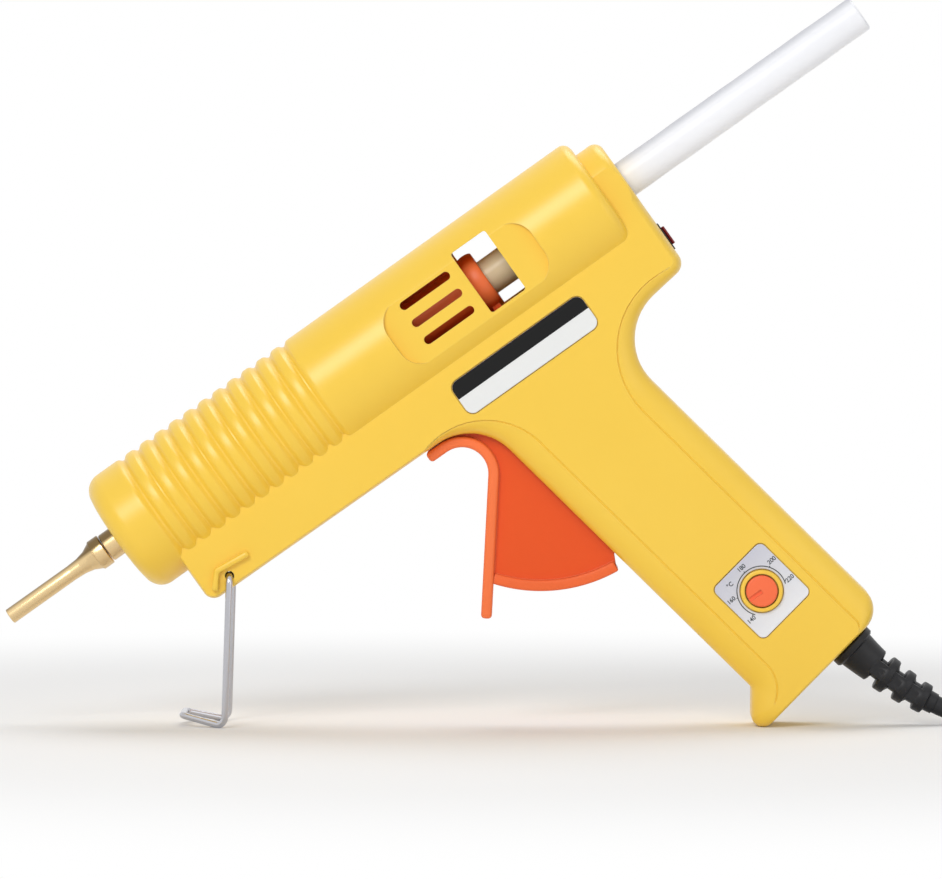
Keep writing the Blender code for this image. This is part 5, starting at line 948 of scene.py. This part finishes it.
def bored(name, points, rounding, bore):
    """A turned piece with rounded outer corners and a bore, from (s, radius) points in mm."""
    first, last = points[0][0] * MM, points[-1][0] * MM
    corners = [(s * MM, r * MM, rounding) for s, r in points]
    outside = rounded([(first, -1.0, 0)] + corners + [(last, -1.0, 0)], 5)
    outside = [point for point in outside if point[1] > -0.5]
    return turned(name, [(first, bore)] + outside + [(last, bore)], 64, closed=True)


nozzle = bored("nozzle_turned", NOZZLE, 0.3 * MM, 1.1 * MM)
show(nozzle, BRASS, "housing", "nozzle_brass", "nozzle", sharp=40.0)
neck = bored("nozzle_neck", NECK, 0.35 * MM, 1.8 * MM)
show(neck, BRASS, "housing", "nozzle_brass", "nozzle_adapter", sharp=40.0)
upward = GUN.to_3x3() @ Vector((0, 0, 1))
barrel_level = upward.dot(GUN_PLACE)
# Painted dark reflection: the brass darkens along its upper side.
fade_across(BRASS, upward, barrel_level + 1.4 * MM, barrel_level + 2.4 * MM, (126, 104, 70))

# %% [markdown]
# ## Trigger
# The trigger is one moulding: a wide blade that the fingers pull, a web behind it, a rim along the web's arc, and
# a lever that reaches up to the carriage. The blade is a strip bent along a path, with real rounded edges. The
# rest are outlines given a width, joined into one closed body, so the joint can turn it as one.

# %% The trigger's outlines
BLADE_HALF, BLADE_THICK, BLADE_EDGE, BLADE_BEND = 7.5 * MM, 3.2 * MM, 1.1 * MM, 9.3 * MM
BLADE_TOP = -33.15 * MM
LEVER_REACH, LEVER_HALF, TIP_R, STROKE = 34.0 * MM, 2.5 * MM, 3.0 * MM, math.radians(22.0)
FAN_FIRST, FAN_LAST = 216.4, 264.4
WEB_TOP = [(117.6, -87.6), (121.5, -84.0), (122.0, -46.0), (116.0, -37.0), (111.5, -31.8), (104.5, -29.6),
           (98.2, -31.0)]


def fan_arc(radius, steps=48):
    turns = [math.radians(FAN_FIRST + (FAN_LAST - FAN_FIRST) * step / steps) for step in range(steps + 1)]
    return [(PIVOT_S + radius * math.cos(turn), PIVOT_H + radius * math.sin(turn)) for turn in turns]


def lever_outline(steps=16):
    """A taper from the hub to the thin neck under the lever's tip."""
    lean, points = STROKE / 2, []
    for reach, radius, first in ((0, 5.0 * MM, math.pi), (LEVER_REACH, 1.8 * MM, 0)):
        for step in range(steps + 1):
            turn = first + math.pi * step / steps
            across, up = radius * math.cos(turn), reach + radius * math.sin(turn)
            points.append((PIVOT_S + across * math.cos(lean) + up * math.sin(lean),
                           PIVOT_H - across * math.sin(lean) + up * math.cos(lean)))
    return points


blade_corners = [(89.4 * MM, 0, BLADE_TOP), (114.1 * MM, 0, BLADE_TOP), (76.0 * MM, 0, -81.3 * MM)]
blade_path = [(point.x, point.z) for point in bend_path(blade_corners, BLADE_BEND, 20)]
web_line = fan_arc(FAN_R - 1.6 * MM) + [(s * MM, h * MM) for s, h in WEB_TOP] + blade_path[3:-1]
tip = (PIVOT_S + LEVER_REACH * math.sin(STROKE / 2), PIVOT_H + LEVER_REACH * math.cos(STROKE / 2))
print("points of the web:", len(web_line))

# %% Trigger
blade = prism("trigger_moulding", strip(blade_path, BLADE_THICK), -BLADE_HALF, BLADE_HALF)
softened(blade, BLADE_EDGE, 4)
web = prism("web", web_line, -5.4 * MM, 5.4 * MM)
for side in (-1, 1):
    cut(web, rod("pocket", PIVOT_S, PIVOT_H, side * 2.5 * MM, side * 10.4 * MM, 7.6 * MM))
rim = prism("rim", fan_arc(FAN_R) + fan_arc(FAN_R - 3.2 * MM)[::-1], -6.5 * MM, 6.5 * MM)
join(blade, web, softened(rim, 0.6 * MM, 3), prism("lever", lever_outline(), -LEVER_HALF, LEVER_HALF),
     rod("tip", *tip, -LEVER_HALF, LEVER_HALF, TIP_R))
cut(blade, rod("bore", PIVOT_S, PIVOT_H, -BLADE_HALF, BLADE_HALF, PIN_R + RUN))
show(blade, ORANGE, "trigger_lever", "orange_plastic", "trigger", sharp=22.0)

# %% [markdown]
# ## Wires: the stand and the return spring
# Both are bent from round wire, so both are a path with a round bevel, turned into a mesh. The stand is one
# piece: two pins in the housing, two legs, two feet and the bar across the front.

# %% Stand and spring
LEG, LEG_Y, FOOT, BAR_HALF = 44.276 * MM, 14.3 * MM, 12.9 * MM, 8.6 * MM
LEG_LEAN, FOOT_LEAN = math.radians(1.9), math.radians(90 + 13.4)
COIL_R, COIL_START, COIL_PITCH, COIL_STEPS, COIL_TURNS = 3.3 * MM, 3.6, 1.25, 40, 2


def wire(name, points, radius, resolution):
    shape = bmesh.new()
    shape.from_mesh(meshed(name, round_line(name, points, radius, resolution)))
    return from_bmesh(name, shape)


def ahead(angle):
    """A direction in the gun's frame that leans forward of straight down on the bench."""
    turn = -math.pi / 2 - TILT - angle
    return Vector((math.cos(turn), math.sin(turn)))


knee = Vector((STAND_S, STAND_H)) + ahead(LEG_LEAN) * LEG
toe = knee + ahead(FOOT_LEAN) * FOOT
side_line = [(STAND_S, 9.2 * MM, STAND_H), (STAND_S, LEG_Y, STAND_H), (knee.x, LEG_Y, knee.y),
             (toe.x, BAR_HALF, toe.y)]
stand_line = bend_path(side_line + [(s, -y, h) for s, y, h in side_line[::-1]], 2.4 * MM, 12)
stand = wire("stand_wire", stand_line, WIRE_R, 6)
show(stand, STEEL, "stand", "stand_wire", "wire_stand", sharp=60.0)
coil = []
for step in range(COIL_STEPS * COIL_TURNS + 1):
    turn = math.tau * step / COIL_STEPS
    coil.append(Vector((PIVOT_S + COIL_R * math.cos(turn), (COIL_START + COIL_PITCH * step / COIL_STEPS) * MM,
                        PIVOT_H + COIL_R * math.sin(turn))))
leg_down = Vector((0, 0, 3.4 * MM))
spring = wire("spring_wire", [coil[0] - leg_down] + coil + [coil[-1] + leg_down], 0.4 * MM, 4)
show(spring, STEEL, "housing", "screw_steel", "return_spring", sharp=60.0)

# %% [markdown]
# ## Glue stick and feed carriage
# The stick is cast in clear hot-melt glue, which is never quite even, so its side swells and thins a little. The
# carriage is an orange tube that grips it, with a crowned ring that you see through the window.

# %% Stick
STICK_START, STICK_END, STICK_EDGE, STICK_STEPS = 68.0 * MM, 268.0 * MM, 0.5 * MM, 120
stick_line = [(STICK_START, 0), (STICK_START, STICK_R - STICK_EDGE)]
for step in range(STICK_STEPS + 1):
    share = step / STICK_STEPS
    s = STICK_START + STICK_EDGE + (STICK_END - STICK_START - 2 * STICK_EDGE) * share
    ripple = 0.03 * MM * (math.sin(share * 37) + math.sin(share * 83 + 1))
    stick_line.append((s, STICK_R - 0.07 * MM + ripple))
stick_line += [(STICK_END, STICK_R - 0.55 * MM), (STICK_END, 0)]
show(turned("glue_stick_cast", stick_line, 72), STICK_CLEAR, "stick", "glue", "glue_stick", sharp=40.0)
# Its upper side greys: painted shade along the top of the stick.
fade_across(STICK_CLEAR, upward, barrel_level + 3.4 * MM, barrel_level + 5.4 * MM, (196, 197, 204))
# Nearer the chamber the stick turns beige: painted yellow bounce light and shade from the housing round it.
forward = GUN.to_3x3() @ Vector((-1, 0, 0))
nose_place = forward.dot(GUN_PLACE)
fade_across(STICK_CLEAR, forward, nose_place - 158 * MM, nose_place - 146 * MM, (232, 216, 178))

# %% Carriage
BORE, TUBE_R, RING_R, TUBE_START, TUBE_END = 5.95 * MM, 7.75 * MM, 9.4 * MM, 98.0 * MM, 134.0 * MM
FORK_GAP, FORK_WALL, TUBE_LOW = TIP_R + RUN, 2.6 * MM, -7.1 * MM
PAWL_HALF, EAR, EAR_S, EAR_LONG = 3.0 * MM, 2.0 * MM, 106.5 * MM, 7.0 * MM
ring_line = [(TUBE_START, BORE), (TUBE_START, TUBE_R), (128.6 * MM, TUBE_R)]
for step in range(15):
    turn = math.pi * (0.08 + 0.84 * step / 14)
    ring_line.append((131.5 * MM - 2.6 * MM * math.cos(turn), RING_R - 0.9 * MM * (1 - math.sin(turn))))
ring_line += [(TUBE_END, 8.0 * MM), (TUBE_END, BORE)]
carriage = turned("carriage_moulding", ring_line, 96, closed=True)
pieces = [block("fork", (s, -5 * MM, -16.5 * MM), (s + FORK_WALL, 5 * MM, TUBE_LOW))
          for s in (tip[0] - FORK_GAP - FORK_WALL, tip[0] + FORK_GAP)]
for near, far in ((-PAWL_HALF - EAR, -PAWL_HALF), (PAWL_HALF, PAWL_HALF + EAR)):
    pieces.append(block("ear", (EAR_S, near, -13.2 * MM), (EAR_S + EAR_LONG, far, TUBE_LOW)))
join(carriage, *pieces)
cut(carriage, block("pawl slot", (EAR_S, -PAWL_HALF, -18 * MM), (EAR_S + EAR_LONG, PAWL_HALF, 0)),
    rod("pin bore", EAR_S + EAR_LONG / 2, -10.6 * MM, -10 * MM, 10 * MM, 1.3 * MM, 24))
show(carriage, ORANGE, "carriage", "orange_plastic", "feed_carriage", sharp=25.0)

# %% [markdown]
# ## Strain relief
# Where the cord leaves the grip a soft black sleeve takes the bend: a flange, a cone, then rings joined by
# webs at both sides, so that it bends easily up and down and the notches show at its edges.

# %% The strain relief's line
FLANGE_LONG, CONE_LONG, RINGS, RING_PITCH, END_LONG = 2.6 * MM, 7.7 * MM, 3, 6.1 * MM, 2.5 * MM
FLANGE_R, FLANGE_EDGE, STEM_R, CORE_R = 7.0 * MM, 0.5 * MM, 4.4 * MM, 3.2 * MM
RING_SHAPE = [(0.42, 0.86), (0.46, 0.96), (0.52, 1.0), (0.86, 0.985), (0.93, 0.94), (0.97, 0.8)]
RELIEF_TURN = math.radians(17.5)
relief_total = FLANGE_LONG + CONE_LONG + RINGS * RING_PITCH + END_LONG
relief_start = grip_point(GRIP_LENGTH, RELIEF_BEHIND)
flange_end = GAP + FLANGE_LONG
cone_end = GAP + FLANGE_LONG + CONE_LONG


def on_relief(length):
    """The place and the lean of the relief's middle line, so far out from the grip."""
    lean = -SLANT + RELIEF_TURN * max(length, 0) / relief_total
    if length <= 0:
        along, up = length * math.cos(lean), length * math.sin(lean)
    else:
        radius = relief_total / RELIEF_TURN
        along = radius * (math.sin(lean) + math.sin(SLANT))
        up = -radius * (math.cos(lean) - math.cos(SLANT))
    return (relief_start[0] + along, relief_start[1] + up), lean


def ring_height(ring, first):
    """The rings grow lower towards the cord."""
    return (first - 1.0 * ring / (RINGS - 1)) * MM


print("relief length in mm:", round(relief_total / MM, 1))

# %% Strain relief
sleeve = [(-6.0 * MM, STEM_R), (GAP, STEM_R), (GAP, FLANGE_R - FLANGE_EDGE), (GAP + FLANGE_EDGE, FLANGE_R),
          (flange_end - FLANGE_EDGE, FLANGE_R), (flange_end, FLANGE_R - FLANGE_EDGE),
          (flange_end + 0.1 * MM, 6.0 * MM)]
sleeve += [(flange_end + CONE_LONG * share, (6.0 - 0.77 * share) * MM) for share in (0.25, 0.5, 0.75, 0.96)]
sleeve.append((cone_end, 4.9 * MM))
for ring in range(RINGS):
    first = cone_end + ring * RING_PITCH
    sleeve += [(first + RING_PITCH * share, CORE_R) for share in (0.08, 0.38)]
    sleeve += [(first + RING_PITCH * share, max(ring_height(ring, 5.6) * height, CORE_R))
               for share, height in RING_SHAPE]
sleeve += [(cone_end + RINGS * RING_PITCH, CORE_R), (relief_total + GAP * 0.5, CORE_R - 0.1 * MM)]
relief = stations("strain_relief_sleeve", [(*on_relief(length), radius) for length, radius in sleeve])
for ring in range(RINGS):
    low, inside, fin = cone_end + (ring - 0.15) * RING_PITCH, CORE_R - MM, ring_height(ring, 5.3)
    for side in (-1, 1):
        rings = []
        for (s, h), lean in (on_relief(low), on_relief(low + RING_PITCH * 0.75)):
            up = Vector((-math.sin(lean), 0, math.cos(lean)))
            rings.append([Vector((s, side * reach, h)) + up * half * MM
                          for reach, half in ((inside, -2.3), (fin, -2.3), (fin, 2.3), (inside, 2.3))])
        join(relief, loft("web", rings))
show(relief, BLACK, "housing", "black_plastic", "strain_relief", sharp=35.0)

# %% [markdown]
# ## Plug
# A moulded two-pin plug ends the cord. Its outline narrows to the neck like the real one, which gives a hold for
# the fingers, and a wide soft bevel rounds it all over. The pins are turned and have rounded ends.

# %% Plug, in the bench's own directions
PLUG_HALF, PLUG_WAIST, PLUG_NECK, PLUG_LONG = 17.5 * MM, 7.35 * MM, 9.0 * MM, 36.0 * MM
PLUG_SHOULDER, PIN_LONG, PLUG_PIN_R, PIN_APART = 13.0 * MM, 19.0 * MM, 2.0 * MM, 9.5 * MM
NECK_RINGS = [(0, 3.6), (0.6, 4.2), (2.2, 4.2), (2.6, 3.6), (3.4, 3.6), (3.8, 4.2), (5.4, 4.2), (5.8, 3.6),
              (6.6, 3.6), (7.0, 4.2), (11.0, 4.2)]


def flat_solid(name, outline, thickness):
    """An outline of (x, y) points with a thickness in z, about its middle."""
    made = prism(name, [(x, -y) for x, y in outline], -thickness / 2, thickness / 2)
    made.data.transform(Matrix.Rotation(math.pi / 2, 4, "X"))
    return made


plug_end = PLUG_NECK + PLUG_LONG
upper = [(PLUG_NECK, PLUG_WAIST, 3.25 * MM), (PLUG_NECK + PLUG_SHOULDER, PLUG_HALF, 6.5 * MM),
         (plug_end, PLUG_HALF, 1.625 * MM)]
plug = flat_solid("plug_moulding", rounded([(x, -y, r) for x, y, r in upper] + upper[::-1], 8), PLUG_HIGH)
softened(plug, 1.8 * MM, 5, 50.0)
neck_line = [(0, 0)] + [(s * MM, r * MM) for s, r in NECK_RINGS] + [(PLUG_NECK + 2 * MM, 0)]
join(plug, turned("plug neck", neck_line, 40))
plug.data.transform(Matrix.Translation(plug_entry))
show(plug, BLACK, "housing", "black_plastic", "plug_body", sharp=32.0, on_gun=False)
for name, side in (("plug_pin_left", -1), ("plug_pin_right", 1)):
    first_s, last_s = plug_end + GAP, plug_end + GAP + PIN_LONG
    line = [(first_s, 0), (first_s, PLUG_PIN_R), (last_s - PLUG_PIN_R, PLUG_PIN_R)]
    line += rounded_end(last_s, PLUG_PIN_R, PLUG_PIN_R, 6)[:-1] + [(last_s, 0)]
    pin = turned(name + "_turned", line, 32)
    pin.data.transform(Matrix.Translation(plug_entry + Vector((0, side * PIN_APART, 0))))
    show(pin, STEEL, "housing", "screw_steel", name, sharp=40.0, on_gun=False)

# %% [markdown]
# ## Dial and plates
# The heat dial is a small orange knob in a collar. Round it a silver plate carries a printed arc and a few
# temperatures. The print is thin solid shapes laid on the plate: text objects and an arc, made into meshes.

# %% Knob
knob_low, knob_high, KNOB_R, KNOB_ROUND = -BODY_HALF - 0.5 * MM, -BODY_HALF - 2.5 * MM, 4.6 * MM, 0.55 * MM
knob_line = [(knob_low, KNOB_R), (knob_high + KNOB_ROUND, KNOB_R)]
knob = on_dial("dial_knob_moulding", knob_line + rounded_end(knob_high, KNOB_R, -KNOB_ROUND, 5))
cut(knob, rod("bore", DIAL_S, DIAL_H, knob_low + OVER, -BODY_HALF - 1.8 * MM, 2.3 * MM, 32),
    block("notch", (DIAL_S - KNOB_R * 2, knob_high - OVER, DIAL_H - 0.6 * MM),
          (DIAL_S, knob_high + 0.6 * MM, DIAL_H + 0.6 * MM)))
show(knob, DIAL_ORANGE, "knob", "dial_orange", "dial_knob", sharp=30.0)

# %% Plates, and the name plate's black band
PRINT_THICK = 0.05 * MM
plate_back = -BODY_HALF + PLATE_RECESS - GAP
plate_face = plate_back - PLATE_THICK
print_y = plate_face - PRINT_THICK


def above(outline, height):
    """The part of an outline that lies above a height."""
    first = outline.index(max(point for point in outline if point[1] > height))
    kept = [point for point in outline[first:] + outline[:first] if point[1] > height]
    return [(min(outline)[0], height), (max(outline)[0], height)] + kept


dial_plate = prism("dial_plate_silver", dial_outline(0), plate_back, plate_face)
cut(dial_plate, rod("hole", DIAL_S, DIAL_H, plate_back + OVER, plate_back - OVER, DIAL_COLLAR_R + GAP, 72))
show(dial_plate, SILVER, "housing", "dial_silver", "dial_plate", sharp=30.0)
name_plate = prism("name_plate_white", name_outline(0), plate_back, plate_face)
show(name_plate, LABEL_WHITE, "housing", "plate_white", "name_plate", sharp=30.0)
band = prism("name_plate_band", above(name_outline(-0.03 * MM), NAME_H + 0.5 * MM), plate_face, print_y)
show(band, LABEL_BLACK, "housing", "black_plastic", sharp=30.0)

# %% The print round the dial
PRINT_LINE, ARC_R, ARC_FIRST, ARC_SWEEP, ARC_STEPS = 0.28 * MM, 7.25 * MM, 17, 238, 69
NUMBER_HIGH, NUMBER_LEAN = 1.82 * MM, math.radians(42.0) - TILT
NUMBERS = [("220", 9.0, 24), ("200", 9.4, 72), ("180", 8.9, 132), ("°C", 9.4, 170), ("160", 9.3, 198),
           ("140", 9.0, 251)]


def on_plate(radius, degrees):
    """A place round the dial, by its angle from the picture's right, in the gun's frame."""
    turn = math.radians(degrees) - TILT
    return DIAL_S + radius * math.cos(turn), DIAL_H + radius * math.sin(turn)


def printed(name, path):
    return prism(name, strip(path, PRINT_LINE), plate_face, print_y)


angles = [ARC_FIRST + ARC_SWEEP * step / ARC_STEPS for step in range(ARC_STEPS + 1)]
arc = printed("dial_print_arc", [on_plate(ARC_R, angle) for angle in angles])
ticks = [printed("tick", [on_plate(ARC_R + reach * MM, angle) for reach in (-0.1, 0.45)])
         for angle in (23, 72, 133, 197, 250)]
join(arc, *ticks)
show(arc, PRINT, "housing", "black_plastic", sharp=30.0)
for words, radius, angle in NUMBERS:
    text = bpy.data.curves.new("number", "FONT")
    text.body, text.size, text.extrude = words, NUMBER_HIGH, PRINT_THICK / 2
    text.align_x, text.align_y, text.offset = "CENTER", "CENTER", 0.03 * MM
    mesh = meshed("number", text)
    s, h = on_plate(radius * MM, angle)
    turn = Matrix.Rotation(-NUMBER_LEAN, 4, "Y") @ Matrix.Rotation(math.pi / 2, 4, "X")
    mesh.transform(Matrix.Translation((s, print_y + PRINT_THICK / 2, h)) @ turn)
    number = new_object("dial_number_" + words.replace("°", "deg"), mesh)
    show(number, PRINT, "housing", "black_plastic", sharp=30.0)

# %% [markdown]
# ## Switch
# The rear rocker is moulded in dark red gloss plastic: two shallow faces that meet in the middle, all with
# small round edges. Only its side shows past the tail.

# %% Rocker
ROCK_TILT, ROCKER_MARGIN, ROCKER_DEEP = math.radians(6.0), 1.1 * MM, 3.4 * MM
half, tall = SWITCH_HALF_Y - ROCKER_MARGIN - GAP * 2, SWITCH_HALF_H - ROCKER_MARGIN - RUN
proud, drop = 0.9 * MM, half * math.tan(ROCK_TILT)
rocker_line = [(proud - ROCKER_DEEP, -half / 2), (proud - ROCKER_DEEP, half / 2), (proud - drop, half),
               (proud, half), (proud - drop, 0), (proud, -half), (proud - drop, -half)]
rocker = flat_solid("rocker_moulding", rocker_line, tall * 2)
rocker.data.transform(Matrix.Translation((REAR_S, 0, SWITCH_H)) @ Matrix.Rotation(ROCK_TILT, 4, "Z"))
softened(rocker, 0.25 * MM, 3, 50.0)
show(rocker, RED, "rocker", "switch_red", "switch_rocker", sharp=30.0)

# %% [markdown]
# ## What the housing holds
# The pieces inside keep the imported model's shapes, which are right for cast, stamped and turned parts, and get
# finishes of their own: sand-cast aluminium, stamped steel, ceramic, silicone and a green board.

# %% Finishes for the pieces inside
INSIDE = {
    "melt_chamber": CAST, "heating_element": CERAMIC, "front_heater_bracket": STEEL,
    "rear_heater_bracket": STEEL, "thermal_cutout": BRASS, "feed_sleeve": SILICONE, "sleeve_clamp": STEEL,
    "clamp_pawl": SCREW_STEEL, "pawl_pin": STEEL, "trigger_pin": STEEL, "potentiometer": SCREW_STEEL,
    "circuit_board": BOARD, "switch_body": BLACK,
}
for node, surface in INSIDE.items():
    for slot in bpy.data.objects[node].material_slots:
        slot.material = surface
print("pieces inside:", len(INSIDE))

# %% [markdown]
# ## Floor and light
# A product picture has no horizon. The floor is white and takes the tool's soft shadow near it. Further out it
# turns into plain white by itself, seen by the camera, in gloss and through clear things only, so that it adds
# no light to the tool. One large soft light stands near the camera and a little above it to the left, so that
# its sheen lies along the barrel's middle, with a weaker one opposite and one above, a little behind.

# %% Floor
SHADE_END, WHITE_START = 0.2, 0.42


def white_to_rays(tree):
    """The share of a shader that the camera, gloss and clear things should see as plain white."""
    rays = add_node(tree, "ShaderNodeLightPath").node.outputs
    seen = rays["Is Camera Ray"]
    for other in ("Is Glossy Ray", "Is Transmission Ray"):
        seen = add_node(tree, "ShaderNodeMath", 0, seen, rays[other], operation="MAXIMUM")
    return seen


floor_paint = bpy.data.materials.new("pale_floor")
floor_paint.use_nodes = True
tree = floor_paint.node_tree
matt = tree.nodes["Principled BSDF"]
for key, value in {"Base Color": (0.93, 0.93, 0.93, 1), "Roughness": 0.8, "Specular IOR Level": 0.0}.items():
    feed(tree, matt.inputs[key], value)
place = add_node(tree, "ShaderNodeTexCoord", "Object")
far_off = add_node(tree, "ShaderNodeVectorMath", "Value", place, operation="LENGTH")
fade = add_node(tree, "ShaderNodeMapRange", interpolation_type="SMOOTHSTEP", Value=far_off,
                From_Min=SHADE_END, From_Max=WHITE_START)
share = add_node(tree, "ShaderNodeMath", 0, fade, white_to_rays(tree), operation="MULTIPLY")
glow = add_node(tree, "ShaderNodeEmission")
blend = add_node(tree, "ShaderNodeMixShader", 0, share, matt.outputs[0], glow)
tree.links.new(blend, tree.nodes["Material Output"].inputs["Surface"])
shape = bmesh.new()
bmesh.ops.create_grid(shape, x_segments=1, y_segments=1, size=6.0)
floor = from_bmesh("floor", shape)
floor.data.materials.append(floor_paint)
floor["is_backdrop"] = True
print("floor faces:", len(floor.data.polygons))

# %% World and lights
world = bpy.data.worlds.new("studio")
bpy.context.scene.world = world
world.use_nodes = True
tree = world.node_tree
soft = tree.nodes["Background"]
soft.inputs["Color"].default_value, soft.inputs["Strength"].default_value = (1.0, 1.0, 1.0, 1), 0.45
plain = add_node(tree, "ShaderNodeBackground", Color=(1, 1, 1, 1), Strength=1.0)
both = add_node(tree, "ShaderNodeMixShader", 0, white_to_rays(tree), soft.outputs[0], plain)
tree.links.new(both, tree.nodes["World Output"].inputs["Surface"])


def soft_light(name, place, aim, size, power):
    lamp = bpy.data.lights.new(name, "AREA")
    lamp.shape, lamp.size, lamp.energy = "DISK", size, power
    made = new_object(name, lamp)
    made.location = place
    made.rotation_mode = "QUATERNION"
    made.rotation_quaternion = (Vector(place) - Vector(aim)).to_track_quat("Z", "Y")
    print(name, "at", place)


soft_light("key light", (-0.42, -1.05, 0.72), (0, 0, 0.08), 0.6, 6.5)
soft_light("fill light", (0.9, -0.8, 0.3), (0, 0, 0.08), 0.9, 1.4)
soft_light("top light", (0.1, 0.45, 1.2), (0, 0, 0.1), 0.9, 5.4)
bpy.context.scene.view_settings.view_transform = "Standard"

# %% Sizes, and the end
low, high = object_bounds()
print("visual box in mm:", [round(float(side) / MM, 1) for side in high - low])
